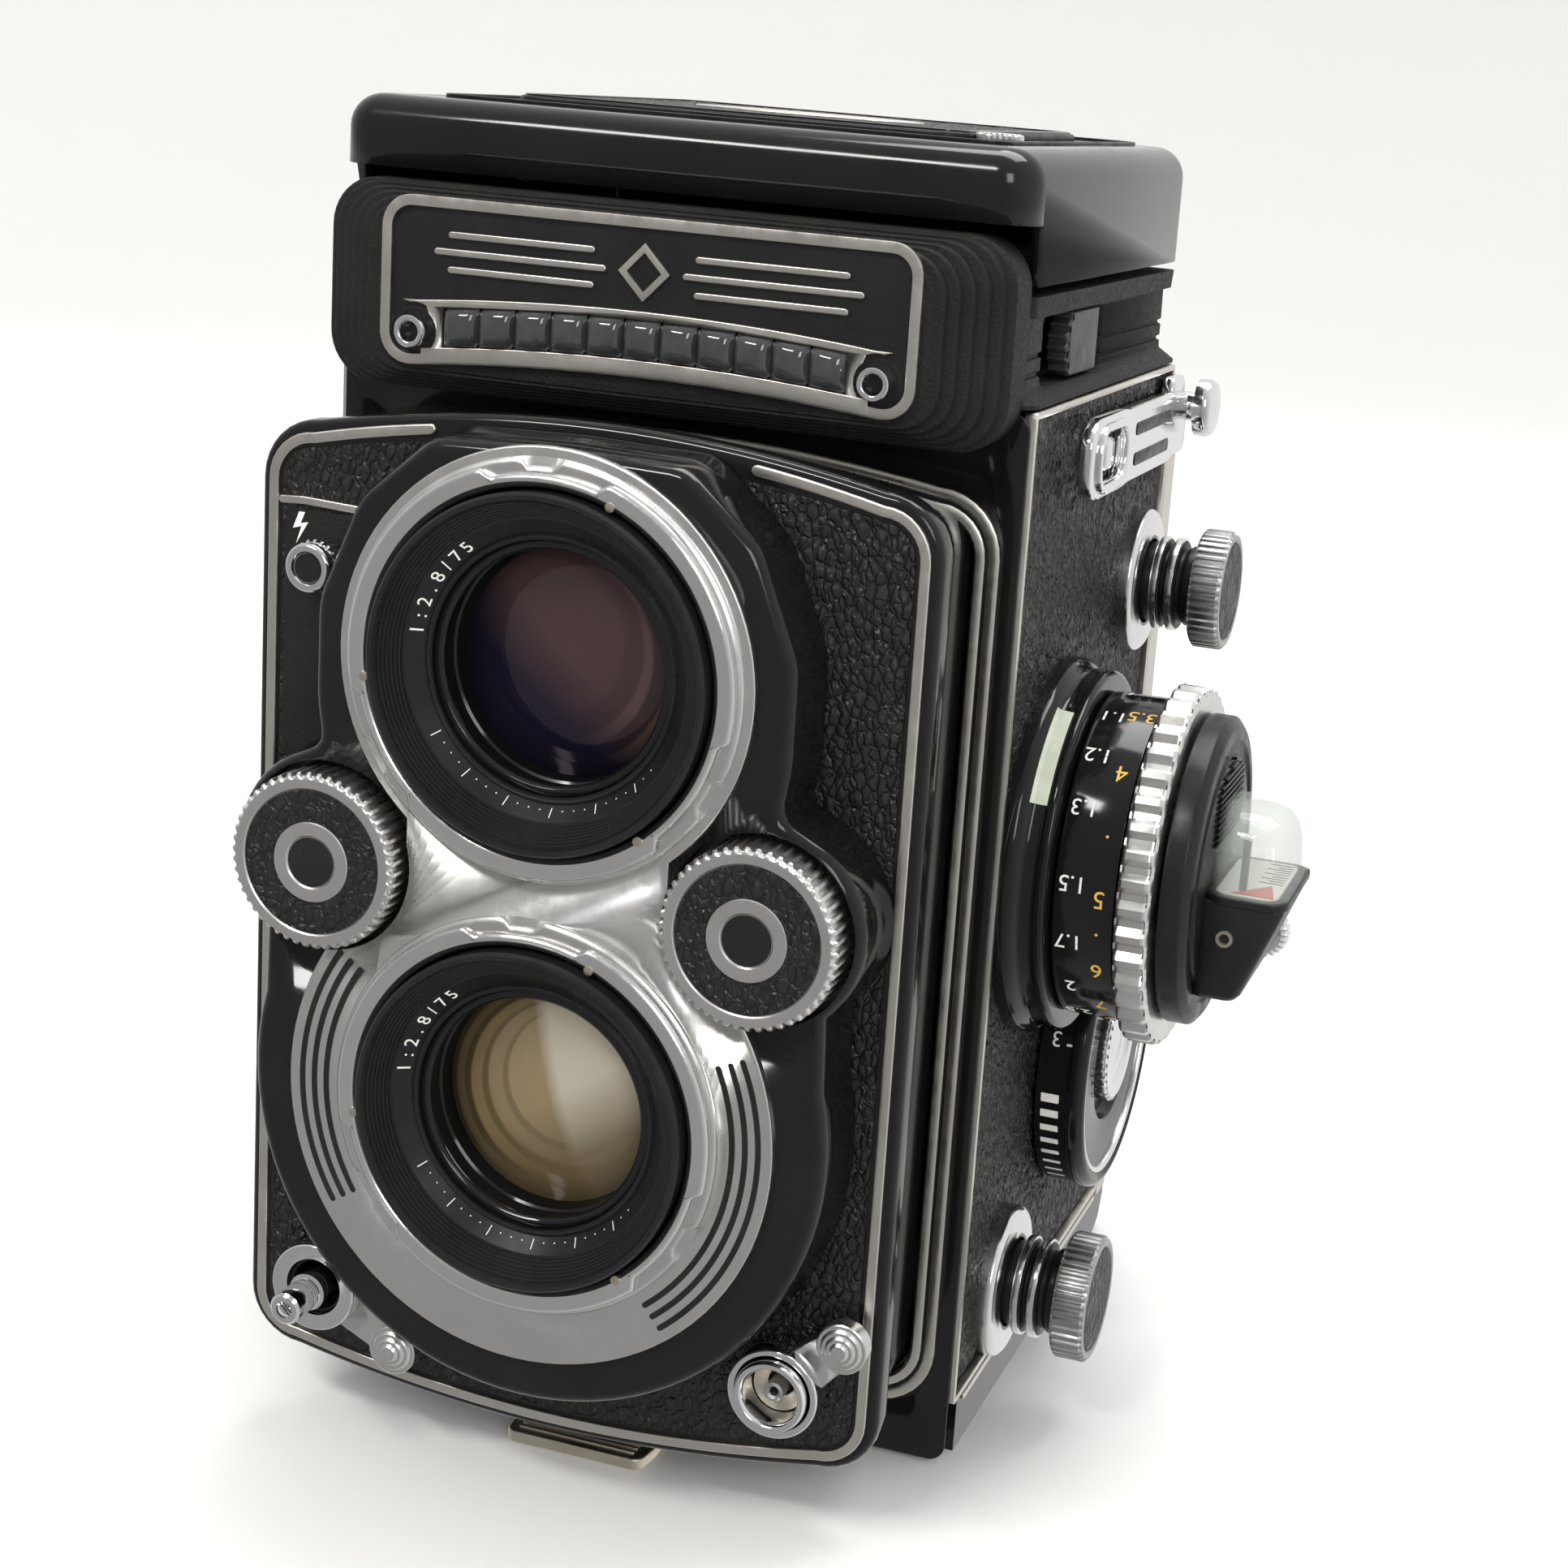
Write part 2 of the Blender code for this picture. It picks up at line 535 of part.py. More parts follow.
def spool_parts():
    for label, (y, z) in (("upper", TAKEUP_YZ), ("lower", FEED_YZ)):
        stem = ((4.9, 37.3), (4.9, 47.5))
        turned(label + "_spool_stem", (y, z), "x", stem, "black_enamel", 20, (42, y, z))
        head = ((5.4, 47.9), (7.3, 48.2), (7.3, 51.5), (6.9, 51.9))
        turned(label + "_spool_knob", (y, z), "x", head, "satin_silver", 28, (49, y, z))
    spool = ((SPOOL_FLANGE_R, -31.0), (SPOOL_FLANGE_R, -30.0), (5.0, -30.0), (5.0, 30.0),
            (SPOOL_FLANGE_R, 30.0), (SPOOL_FLANGE_R, 31.0))
    turned("takeup_spool", TAKEUP_YZ, "x", spool, "spool_plastic", 24, (0, *TAKEUP_YZ))
    turned("feed_spool", FEED_YZ, "x", spool, "spool_plastic", 24, (0, *FEED_YZ))


# ---------------------------------------------------------------- left side
def crank_group():
    y, z = CRANK_YZ
    plate = ((18.0, -39.8), (18.0, -41.5), (16.8, -42.1), (9.0, -42.1), (8.0, -42.9), (3.0, -42.9))
    turned("crank_plate", (y, z), "x", plate, "satin_silver", 32)
    hub = turned("crank_arm", (y, z), "x", ((6.4, -43.3), (6.4, -46.7), (5.6, -47.3)), "chrome", 24,
            (-44, y, z))
    arm = [(y - 3.6, z), (y + 3.6, z), (y + 3.0, z - 30.0), (y - 3.0, z - 30.0)]
    join(hub, prism("cut_crank_bar", arm, "x", -46.3, -44.3, "chrome"))
    knob = ((3.4, -46.7), (4.6, -47.5), (4.6, MIN_X + 0.6), (3.8, MIN_X))
    turned("crank_handle", (y, z - 26.0), "x", knob, "black_matt", 20, (-49, y, z - 26.0))


# ---------------------------------------------------------------- back
def back_door():
    pivot = (0, 67.2, 118.6)
    half = SIDE_X
    profile = [(3.5, 0.0), (66.6, 0.0), (69.4, 1.2), (DOOR_REAR_Y, 4.2), (DOOR_REAR_Y, 116.8),
            (65.0, 116.8)]
    profile += [(65.0, DOOR_RIM_Z), (3.5, DOOR_RIM_Z)]
    door = prism("back_door", profile, "x", -half, half, "black_enamel", pivot)
    room = [(5.0, 1.6), (66.2, 1.6), (68.0, 2.6), (69.0, 4.8), (69.0, 115.0), (60.0, 115.0), (60.0, 10.0),
            (5.0, 10.0)]
    cut(door, prism("cut_door_room", room, "x", -half + 1.8, half - 1.8, None))
    barrel = turned("cut_hinge_barrel", pivot[1:], "x", ((1.5, -26), (1.5, 26)), "chrome", 16)
    leaf = box("cut_hinge_leaf", (-26, 26), (66.6, 68.6), (114.0, 118.4), "chrome")
    join(door, leaf, barrel)
    cut(door, turned("cut_tripod_hole", (0.0, 36.0), "z", ((3.3, -2), (3.3, 3)), None, 24))
    box("pressure_plate", (-29.0, 29.0), (66.0, 67.2), (14.0, 74.0), "black_matt", 0.3)
    bush = ((9.0, 1.9), (9.0, 3.4), (7.0, 4.6), (3.6, 4.6), (3.6, 1.9))
    turned("tripod_bush", (0.0, 36.0), "z", bush, "cast_aluminium", 24, ring=True)
    latch = box("back_latch", (-7.4, 9.8), (-16.4, 2.0), (0.4, 2.0), "brass_worn", 0.3, (0, 1.4, 1.2))
    return latch


def main():
    clear_scene()
    bpy.context.scene.unit_settings.system = "METRIC"
    body_casting()
    side_leather("side_leather_left", -1)
    side_leather("side_leather_right", 1)
    front_trim_frame()
    strap_lug("strap_lug_left", -1)
    strap_lug("strap_lug_right", 1)
    nameplate_housing()
    nameplate_fittings()
    hood_base()
    hood_release()
    hood_lid()
    hood_walls()
    lens_board()
    masks()
    lens_set("viewing", VIEW_Z, "lens_glass_violet")
    lens_set("taking", TAKE_Z, "lens_glass_amber")
    wheels()
    corner_controls()
    focus_group()
    meter_group()
    exposure_dial()
    spool_parts()
    crank_group()
    back_door()


main()
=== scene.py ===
"""Looks of a twin lens reflex camera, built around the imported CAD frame.

Lengths are millimetres in the body's own axes: X from the middle of the body, Y from the
front plate with the lenses at -Y, Z from the base. ORIGIN and MM turn them into the frame.
"""
import math

import bmesh
import bpy
from mathutils import Matrix, Vector, noise


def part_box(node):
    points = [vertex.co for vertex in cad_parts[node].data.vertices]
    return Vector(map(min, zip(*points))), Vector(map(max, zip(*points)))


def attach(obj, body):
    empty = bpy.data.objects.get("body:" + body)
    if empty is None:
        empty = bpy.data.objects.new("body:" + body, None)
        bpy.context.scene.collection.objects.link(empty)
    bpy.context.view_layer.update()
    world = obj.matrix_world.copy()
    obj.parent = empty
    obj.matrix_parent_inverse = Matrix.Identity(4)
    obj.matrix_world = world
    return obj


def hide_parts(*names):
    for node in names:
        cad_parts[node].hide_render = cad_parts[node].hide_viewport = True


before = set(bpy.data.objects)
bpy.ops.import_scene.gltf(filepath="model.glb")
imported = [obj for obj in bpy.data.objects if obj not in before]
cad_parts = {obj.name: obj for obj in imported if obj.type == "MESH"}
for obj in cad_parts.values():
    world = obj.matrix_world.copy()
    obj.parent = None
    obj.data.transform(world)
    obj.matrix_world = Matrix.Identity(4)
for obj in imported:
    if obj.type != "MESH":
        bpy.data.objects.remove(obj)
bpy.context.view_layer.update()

MM = 0.001
LENS_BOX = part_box("taking_bayonet_ring")
ORIGIN = Vector(((LENS_BOX[0].x + LENS_BOX[1].x) / 2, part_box("body_casting")[0].y, 0.0))


def span(node):
    """Lowest and highest corner of a CAD node, in body millimetres."""
    low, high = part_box(node)
    return (low - ORIGIN) / MM, (high - ORIGIN) / MM


def middle(node):
    low, high = span(node)
    return (low + high) / 2


# driving places, all read from the frame
VIEW_Z = middle("viewing_bayonet_ring").z
TAKE_Z = middle("taking_bayonet_ring").z
LENS_PLACES = ((0, VIEW_Z), (0, TAKE_Z))
BOARD_Y = span("lens_mask")[1].y + 0.3
MASK_Y = span("lens_mask")[0].y
PLATE_Y = span("face_plate")[0].y
BARREL_Y = span("taking_lens_barrel")[0].y
BARREL_R = (span("taking_lens_barrel")[1].x - span("taking_lens_barrel")[0].x) / 2
RING_R = (span("taking_bayonet_ring")[1].x - span("taking_bayonet_ring")[0].x) / 2
RING_Y = span("taking_bayonet_ring")[0].y
WHEEL = middle("shutter_wheel")
WHEEL_R = (span("shutter_wheel")[1].x - span("shutter_wheel")[0].x) / 2
WHEEL_Y = (span("shutter_wheel")[0].y, span("shutter_wheel")[1].y)
CORNER = middle("flash_socket")
FOCUS = middle("focus_grip_ring")
DIAL = middle("film_speed_dial")
CRANK = middle("crank_plate")
SIDE_X = span("back_door")[1].x
PLATE_FACE_Y = span("nameplate_housing")[0].y


# ---------------------------------------------------------------- materials
class Finish:
    """A Principled material and short calls for the nodes that give it its detail."""

    def __init__(self, name, color, rough, metallic=0.0):
        self.mat = bpy.data.materials.new(name)
        self.mat.use_nodes = True
        self.tree = self.mat.node_tree
        self.bsdf = self.tree.nodes["Principled BSDF"]
        self.set(Base_Color=(*color, 1), Roughness=rough, Metallic=metallic)
        self.coords = self.node("TexCoord")["Object"]
        self.height = None

    def set(self, **values):
        for key, value in values.items():
            self.bsdf.inputs[key.replace("_", " ")].default_value = value
        return self

    def node(self, kind, inputs=None, **settings):
        """Outputs of a new shader node; an input that is a socket is linked, and any other is a value."""
        made = self.tree.nodes.new("ShaderNode" + kind)
        for key, value in settings.items():
            setattr(made, key, value)
        for key, value in (inputs or {}).items():
            if isinstance(value, bpy.types.NodeSocket):
                self.tree.links.new(value, made.inputs[key])
            else:
                made.inputs[key].default_value = value
        return made.outputs

    def noise(self, scale, detail=3.0, rough=0.5):
        inputs = {"Scale": scale, "Detail": detail, "Roughness": rough, "Vector": self.coords}
        return self.node("TexNoise", inputs)["Fac"]

    def cells(self, scale, feature, wobble, stretch=(1, 1, 1)):
        """Distance inside irregular cells whose walls a noise bends."""
        source = self.node("Mapping", {"Scale": stretch, "Vector": self.coords})["Vector"]
        warp = self.node("TexNoise", {"Scale": scale * 0.7, "Vector": source})["Color"]
        bent = {0: warp, 1: (wobble / scale,) * 3, 2: source}
        source = self.node("VectorMath", bent, operation="MULTIPLY_ADD")["Vector"]
        return self.node("TexVoronoi", {"Scale": scale, "Vector": source}, feature=feature)["Distance"]

    def ramp(self, value, low, high, out_low=0.0, out_high=1.0):
        ends = {"From Min": low, "From Max": high, "To Min": out_low, "To Max": out_high}
        return self.node("MapRange", {"Value": value, **ends})["Result"]

    def mixed(self, factor, low, high):
        inputs = {"Factor": factor, "A": low, "B": high}
        self.feed("Base Color", self.node("Mix", inputs, data_type="RGBA")["Result"])
        return self

    def feed(self, name, value):
        self.tree.links.new(value, self.bsdf.inputs[name])

    def vary_color(self, value, low, high):
        return self.mixed(value, (*low, 1), (*high, 1))

    def layer(self, mask, color):
        """Paints a colour over what is there, where the mask is 1."""
        base = self.bsdf.inputs["Base Color"]
        under = base.links[0].from_socket if base.links else tuple(base.default_value)
        return self.mixed(mask, under, (*color, 1))

    def flat_offset(self, x, z):
        """Millimetres across from a line that runs straight back through x, z."""
        here = ORIGIN + Vector((x, 0, z)) * MM
        offset = self.node("VectorMath", {0: self.coords, 1: here}, operation="SUBTRACT")["Vector"]
        scaled = {0: offset, 1: (1 / MM, 0, 1 / MM)}
        return self.node("VectorMath", scaled, operation="MULTIPLY")["Vector"]

    def far_from(self, x, z):
        return self.node("VectorMath", {0: self.flat_offset(x, z)}, operation="LENGTH")["Value"]

    def towards(self, x, z, direction):
        """How far a point lies along a direction from x, z, in millimetres."""
        inputs = {0: self.flat_offset(x, z), 1: (direction[0], 0, direction[1])}
        return self.node("VectorMath", inputs, operation="DOT_PRODUCT")["Value"]

    def vary_rough(self, value, low, high):
        self.feed("Roughness", self.ramp(value, 0.3, 0.7, low, high))
        return self

    def bump(self, value, distance, strength=1.0):
        inputs = {"Distance": distance * MM, "Strength": strength, "Height": value}
        if self.height:
            inputs["Normal"] = self.height
        self.height = self.node("Bump", inputs)["Normal"]
        self.feed("Normal", self.height)
        return self


def finish(name, color, rough, metallic=0.0, tint=None, gloss=None, bumps=(), **values):
    """A finish whose colour, roughness and height follow noise.

    tint and gloss are (noise settings, low, high); a bump is (noise settings, millimetres, strength).
    """
    made = Finish(name, color, rough, metallic)
    if tint:
        made.vary_color(made.noise(*tint[0]), *tint[1:])
    if gloss:
        made.vary_rough(made.noise(*gloss[0]), *gloss[1:])
    for settings, distance, strength in bumps:
        made.bump(made.noise(*settings), distance, strength)
    return made.set(**values)


def pebbled_leather():
    made = finish("pebbled_black_leather", (0.012,) * 3, 0.5, gloss=((500, 4), 0.28, 0.5),
            Specular_IOR_Level=0.46)
    long_way = (1.0, 1.15, 0.72)
    pebble = made.cells(1050, "SMOOTH_F1", 1.3, long_way)
    crease = made.ramp(made.cells(1050, "DISTANCE_TO_EDGE", 1.3, long_way), 0.0, 0.16)
    # the colour darkens from the middle of each pebble to the creases between them: painted shade in the
    # creases
    made.vary_color(pebble, (0.016, 0.016, 0.015), (0.003,) * 3)
    return made.bump(crease, 0.22, 1.0).bump(pebble, -0.34, 0.9).bump(made.noise(4200, 3), 0.03, 0.6)


def wrinkle_paint():
    made = finish("black_wrinkle_paint", (0.02,) * 3, 0.6,
            tint=((150, 4), (0.008,) * 3, (0.017, 0.017, 0.016)),
                  gloss=((1800, 3), 0.48, 0.72), Specular_IOR_Level=0.22)
    return made.bump(made.cells(2600, "F1", 1.0), 0.09, 0.7)


def glass_with_painted_crescents(name, z, rings, rim):
    """Coated glass whose colour steps inwards in offset rings: painted crescent reflections of the nested
    elements.
    """
    made = Finish(name, rim, 0.03)
    for dx, dz, radius, color in rings:
        made.layer(made.ramp(made.far_from(dx, z + dz), radius + 0.14, radius - 0.14), color)
    return made.vary_rough(made.noise(200, 3), 0.01, 0.06)


def violet_glass():
    # lighter and darker rings: painted crescent reflections in the glass
    rings = (
        (0.0, 0.0, 11.5, (0.070, 0.043, 0.038)), (-0.5, 0.6, 11.0, (0.026, 0.016, 0.017)),
        (-0.8, 1.0, 9.9, (0.062, 0.038, 0.036)), (-1.3, 1.6, 9.5, (0.036, 0.021, 0.022)),
        (-1.8, 2.2, 8.0, (0.043, 0.026, 0.026)),
    )
    made = glass_with_painted_crescents("violet_coated_glass", VIEW_Z, rings, (0.008, 0.006, 0.008))
    # darker towards the lower left: painted shade on one side of the glass
    dark = made.ramp(made.towards(0, VIEW_Z, (-0.62, -0.78)), -1.5, 5.0)
    return made.layer(dark, (0.006, 0.005, 0.012)).set(Specular_Tint=(0.80, 0.62, 0.70, 1))


def amber_glass():
    # lighter and darker rings: painted crescent reflections in the glass
    rings = (
        (0.3, 0.2, 11.6, (0.085, 0.062, 0.031)), (0.7, 0.6, 10.9, (0.050, 0.036, 0.017)),
        (1.0, 0.9, 10.3, (0.150, 0.108, 0.056)), (1.5, 1.4, 9.3, (0.090, 0.066, 0.033)),
        (1.8, 1.8, 8.8, (0.165, 0.122, 0.066)), (2.4, 2.4, 7.6, (0.120, 0.088, 0.046)),
        (2.7, 2.8, 7.2, (0.190, 0.142, 0.080)),
    )
    made = glass_with_painted_crescents("amber_coated_glass", TAKE_Z, rings, (0.035, 0.025, 0.012))
    # pale patch towards the upper right: a painted reflection
    reflection_patch = made.ramp(made.towards(0.6, TAKE_Z, (0.95, 0.30)), 0.0, 1.6, 0.0, 0.9)
    made.layer(reflection_patch, (0.36, 0.33, 0.265))
    # darker amber towards the lower right: painted shade in the glass
    lower = made.ramp(made.towards(3.0, TAKE_Z + 2.0, (0.55, -0.83)), 0.0, 7.0, 0.0, 0.9)
    return made.layer(lower, (0.10, 0.072, 0.036))


def make_materials():
    smear = (90, 5, 0.6)
    paint_bump = [((2500, 2), 0.01, 0.4)]
    made = {
        "lacquer": finish("black_lacquer", (0.006, 0.006, 0.0065), 0.14, 0.0,
                          (smear, (0.004, 0.004, 0.0045), (0.010,) * 3), (smear, 0.06, 0.16),
                          [((700, 2), 0.008, 0.4)], Specular_IOR_Level=0.38),
        "wrinkle": wrinkle_paint(),
        "satin_black": finish("black_anodised", (0.012, 0.012, 0.013), 0.33, 0.0,
                              ((120, 3), (0.007, 0.007, 0.008), (0.018,) * 3), ((400, 4), 0.24, 0.42),
                              [((6000, 2), 0.01, 0.35)], Specular_IOR_Level=0.24),
        "leather": pebbled_leather(),
        "silver": finish("satin_aluminium", (0.80, 0.79, 0.77), 0.3, 1.0,
                         ((60, 5, 0.65), (0.70, 0.69, 0.67), (0.86, 0.85, 0.83)), ((260, 6, 0.7), 0.22,
                                 0.40),
                         [((7000, 2), 0.008, 0.4), ((300, 5, 0.7), 0.02, 0.25)]),
        "trim": finish("worn_trim_silver", (0.78, 0.75, 0.70), 0.34, 1.0,
                       ((110, 6, 0.7), (0.60, 0.57, 0.51), (0.84, 0.82, 0.77)), ((420, 5, 0.7), 0.26, 0.46),
                       [((1200, 5, 0.7), 0.012, 0.5)]),
        "polished": finish("bright_turned_metal", (0.86, 0.86, 0.85), 0.16, 1.0,
                           ((150, 5, 0.6), (0.76, 0.76, 0.75), (0.9, 0.9, 0.89)), ((500, 5, 0.7), 0.10,
                                   0.27),
                           [((900, 4, 0.7), 0.008, 0.4)]),
        "chrome": finish("chrome_plate", (0.86, 0.87, 0.88), 0.08, 1.0,
                         ((200, 4), (0.80, 0.81, 0.82), (0.90, 0.90, 0.91)), ((350, 5, 0.7), 0.04, 0.16),
                         [((500, 3), 0.006, 0.4)]),
        "cast": finish("machined_aluminium", (0.42, 0.42, 0.43), 0.45, 1.0,
                       ((90, 3), (0.36, 0.36, 0.37), (0.5,) * 3), ((700, 4), 0.35, 0.6),
                       [((3000, 3), 0.02, 0.5)]),
        "steel": finish("dull_nickel", (0.50,) * 3, 0.34, 1.0,
                        ((120, 4), (0.40,) * 3, (0.58, 0.58, 0.57)), ((600, 4), 0.26, 0.46),
                        [((2500, 3), 0.012, 0.5)]),
        "brass": finish("worn_plated_brass", (0.66, 0.60, 0.48), 0.36, 1.0,
                        ((260, 6, 0.75), (0.50, 0.43, 0.32), (0.78, 0.74, 0.64)), ((900, 5, 0.7), 0.28,
                                0.52),
                        [((1500, 5, 0.7), 0.03, 0.6)]),
        "white": finish("white_paint_fill", (0.86, 0.85, 0.80), 0.5, 0.0,
                        ((900, 3), (0.74, 0.73, 0.68), (0.9, 0.89, 0.85)), None, paint_bump),
        "amber_paint": finish("amber_paint_fill", (0.72, 0.43, 0.07), 0.5, 0.0,
                              ((900, 3), (0.62, 0.35, 0.05), (0.80, 0.50, 0.10)), None, paint_bump),
        "red": finish("red_paint", (0.62, 0.035, 0.015), 0.42, 0.0,
                      ((900, 3), (0.5, 0.025, 0.01), (0.7, 0.05, 0.02)), None, [((2500, 2), 0.01, 0.3)]),
        # near-black, for sheets that paint the shade in recesses and round the meter posts
        "recess_shade": finish("painted_recess_shade", (0.003,) * 3, 0.7, 0.0,
                         None, ((900, 3), 0.55, 0.8), [((3000, 2), 0.02, 0.4)]),
        "ivory": finish("aged_scale_window", (0.62, 0.66, 0.52), 0.18, 0.0,
                        ((400, 6, 0.7), (0.45, 0.50, 0.38), (0.72, 0.76, 0.64)), ((500, 3), 0.12, 0.3),
                        [((900, 4), 0.03, 0.4)]),
        "scale_card": finish("meter_scale_card", (0.80, 0.80, 0.74), 0.55, 0.0,
                             ((600, 4), (0.70, 0.70, 0.63),
                                     (0.86, 0.86, 0.80)), None, [((3000, 2), 0.01, 0.3)]),
        "screen": finish("ground_screen", (0.72, 0.74, 0.72), 0.4, 0.0,
                         ((200, 2), (0.66, 0.68, 0.66), (0.76, 0.78, 0.76)), ((3000, 3), 0.35, 0.5),
                         [((9000, 2), 0.01, 0.5)]),
        "mirror": finish("front_silvered_mirror", (0.88, 0.9, 0.9), 0.02, 1.0,
                         ((80, 4), (0.84, 0.86, 0.87), (0.92, 0.93, 0.93)), ((200, 3), 0.01, 0.05)),
        "spool": finish("black_spool_plastic", (0.03,) * 3, 0.45, 0.0,
                        ((100, 3), (0.022,) * 3, (0.04,) * 3), ((300, 4), 0.35, 0.55), paint_bump),
        "dome": finish("clear_window", (0.50, 0.54, 0.50), 0.03, 0.0,
                       ((60, 3), (0.50, 0.54, 0.50),
                               (0.56, 0.6048, 0.56)), Alpha=0.26, Specular_IOR_Level=0.9),
        "cell": finish("meter_cell_lens", (0.018, 0.019, 0.02), 0.05, 0.0,
                       ((500, 3), (0.014, 0.015, 0.016), (0.062, 0.064, 0.066)), ((900, 3), 0.02, 0.08),
                       Specular_IOR_Level=0.9),
        "lens_violet": violet_glass(),
        "lens_amber": amber_glass(),
    }
    return {key: value.mat for key, value in made.items()}


MAT = make_materials()


# ---------------------------------------------------------------- mesh helpers
def lift(axis, a, b, h):
    if axis == "x":
        return Vector((h, a, b))
    if axis == "y":
        return Vector((a, h, b))
    return Vector((a, b, h))


def skin(rings, closed=False):
    """Joins rings of equal length with quads and caps the two ends unless closed."""
    bm = bmesh.new()
    loops = [[bm.verts.new(point) for point in ring] for ring in rings]
    count = len(loops[0])
    pairs = list(zip(loops, loops[1:]))
    if closed:
        pairs.append((loops[-1], loops[0]))
    for low, high in pairs:
        for i in range(count):
            j = (i + 1) % count
            bm.faces.new((low[i], low[j], high[j], high[i]))
    if not closed:
        bm.faces.new(list(reversed(loops[0])))
        bm.faces.new(loops[-1])
    return bm


def mesh_object(name, bm, sharp=32):
    """Turns a bmesh in body millimetres into an object of the frame."""
    bmesh.ops.remove_doubles(bm, verts=bm.verts, dist=2e-4)
    bmesh.ops.recalc_face_normals(bm, faces=bm.faces)
    for vert in bm.verts:
        vert.co = vert.co * MM + ORIGIN
    mesh = bpy.data.meshes.new(name)
    bm.to_mesh(mesh)
    bm.free()
    mesh.shade_smooth()
    mesh.set_sharp_from_angle(angle=math.radians(sharp))
    obj = bpy.data.objects.new(name, mesh)
    bpy.context.scene.collection.objects.link(obj)
    return obj


def piece(name, bm, mat, body, stands_for=None, sharp=32):
    """A finished piece that rides on a body and may stand for a CAD node."""
    obj = mesh_object(name, bm, sharp)
    obj.data.materials.append(MAT[mat])
    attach(obj, body)
    if stands_for:
        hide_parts(stands_for)
    return obj


def rounded(profile, radius, steps=3, closed=False):
    """Replaces each corner of a polyline by a short arc of about that radius."""
    points = [Vector(p[:2]) for p in profile]
    extra = [p[2] if len(p) > 2 else 0.0 for p in profile]
    count = len(points)
    made = []
    for i, point in enumerate(points):
        if not closed and i in (0, count - 1):
            made.append((point.x, point.y, extra[i]))
            continue
        before = points[i - 1] - point
        after = points[(i + 1) % count] - point
        reach = min(radius, before.length * 0.45, after.length * 0.45)
        start = point + before.normalized() * reach
        end = point + after.normalized() * reach
        for k in range(steps + 1):
            t = k / steps
            q = start * (1 - t) ** 2 + point * 2 * t * (1 - t) + end * t * t
            made.append((q.x, q.y, extra[i]))
    return made


def turned(profile, axis, centre, count=72, wave=None, depth=0.0, ring=False):
    """Revolves (radius, height, flute share) points; wave(angle) from 0 to 1 cuts the flutes."""
    rings = []
    for point in profile:
        radius, height = point[0], point[1]
        share = point[2] if len(point) > 2 else 0.0
        loop = []
        for i in range(count):
            angle = 2 * math.pi * i / count
            r = radius - (depth * share * wave(angle) if wave else 0.0)
            a, b = centre[0] + r * math.cos(angle), centre[1] + r * math.sin(angle)
            loop.append(lift(axis, a, b, height))
        rings.append(loop)
    return skin(rings, ring)


def lathe(profile, soft, axis, centre, count=72, wave=None, depth=0.0, ring=False):
    """Revolves a profile whose corners are rounded by soft, a radius and a number of steps."""
    return turned(rounded(profile, *soft, closed=ring), axis, centre, count, wave, depth, ring)


def flutes(teeth, sharpness=2.2):
    """Rounded cuts between flat-topped teeth."""
    def wave(angle):
        value = 0.5 - 0.5 * math.cos(angle * teeth)
        return min(1.0, max(0.0, (value - 0.5) * sharpness + 0.5))
    return wave


def inset(outline, depth):
    """Moves every side of an outline inwards by depth."""
    points = [Vector(p) for p in outline]
    count = len(points)
    area = sum(points[i - 1].cross(points[i]) for i in range(count))
    sign = 1.0 if area > 0 else -1.0
    made = []
    for i, point in enumerate(points):
        a = (point - points[i - 1]).normalized()
        b = (points[(i + 1) % count] - point).normalized()
        na, nb = Vector((-a.y, a.x)), Vector((-b.y, b.x))
        move = (na + nb) / max(1 + na.dot(nb), 0.4)
        made.append(tuple(point + move * sign * depth))
    return made


def stepped(outline, axis, section, closed=False):
    """Stacks copies of an outline, each (inset, height) of the section."""
    rings = []
    for depth, height in section:
        line = inset(outline, depth) if depth else outline
        rings.append([lift(axis, a, b, height) for a, b in line])
    return skin(rings, closed)


def soft_outline(points, radius, steps):
    return [(a, b) for a, b, _ in rounded(points, radius, steps, closed=True)]


def edge(low, high, round_low, round_high, steps=3):
    """(inset, height) steps of a plate with rounded rims."""
    made = []
    sign = 1 if high > low else -1
    for i in range(steps + 1):
        t = math.pi / 2 * i / steps
        made.append((round_low * (1 - math.sin(t)), low + sign * round_low * (1 - math.cos(t))))
    for i in range(steps + 1):
        t = math.pi / 2 * i / steps
        made.append((round_high * (1 - math.cos(t)), high - sign * round_high * (1 - math.sin(t))))
    return made


def slab(outline, axis, low, high, round_low=0.1, round_high=0.2, steps=3):
    return stepped(outline, axis, edge(low, high, round_low, round_high, steps))


def band(outline, axis, width, low, high, radius=0.15):
    """A frame of that width inside an outline, with rounded front edges."""
    section = [(0.0, low), (0.0, high), (width, high), (width, low)]
    return stepped(outline, axis, soft_outline(section, radius, 2), closed=True)


def ribbon(path, width, arc=5):
    """Outline of a strip of constant width along an open path, with round ends."""
    points = [Vector(p) for p in path]
    left, right = [], []
    for i, point in enumerate(points):
        ahead = points[min(i + 1, len(points) - 1)] - points[max(i - 1, 0)]
        normal = Vector((-ahead.y, ahead.x)).normalized() * width / 2
        left.append(point + normal)
        right.append(point - normal)

    def cap(centre, start):
        turn = [Matrix.Rotation(-math.pi * k / arc, 2) @ start for k in range(1, arc)]
        return [centre + step for step in turn]

    outline = left + cap(points[-1], left[-1] - points[-1])
    outline += list(reversed(right)) + cap(points[0], right[0] - points[0])
    return [tuple(p) for p in outline]


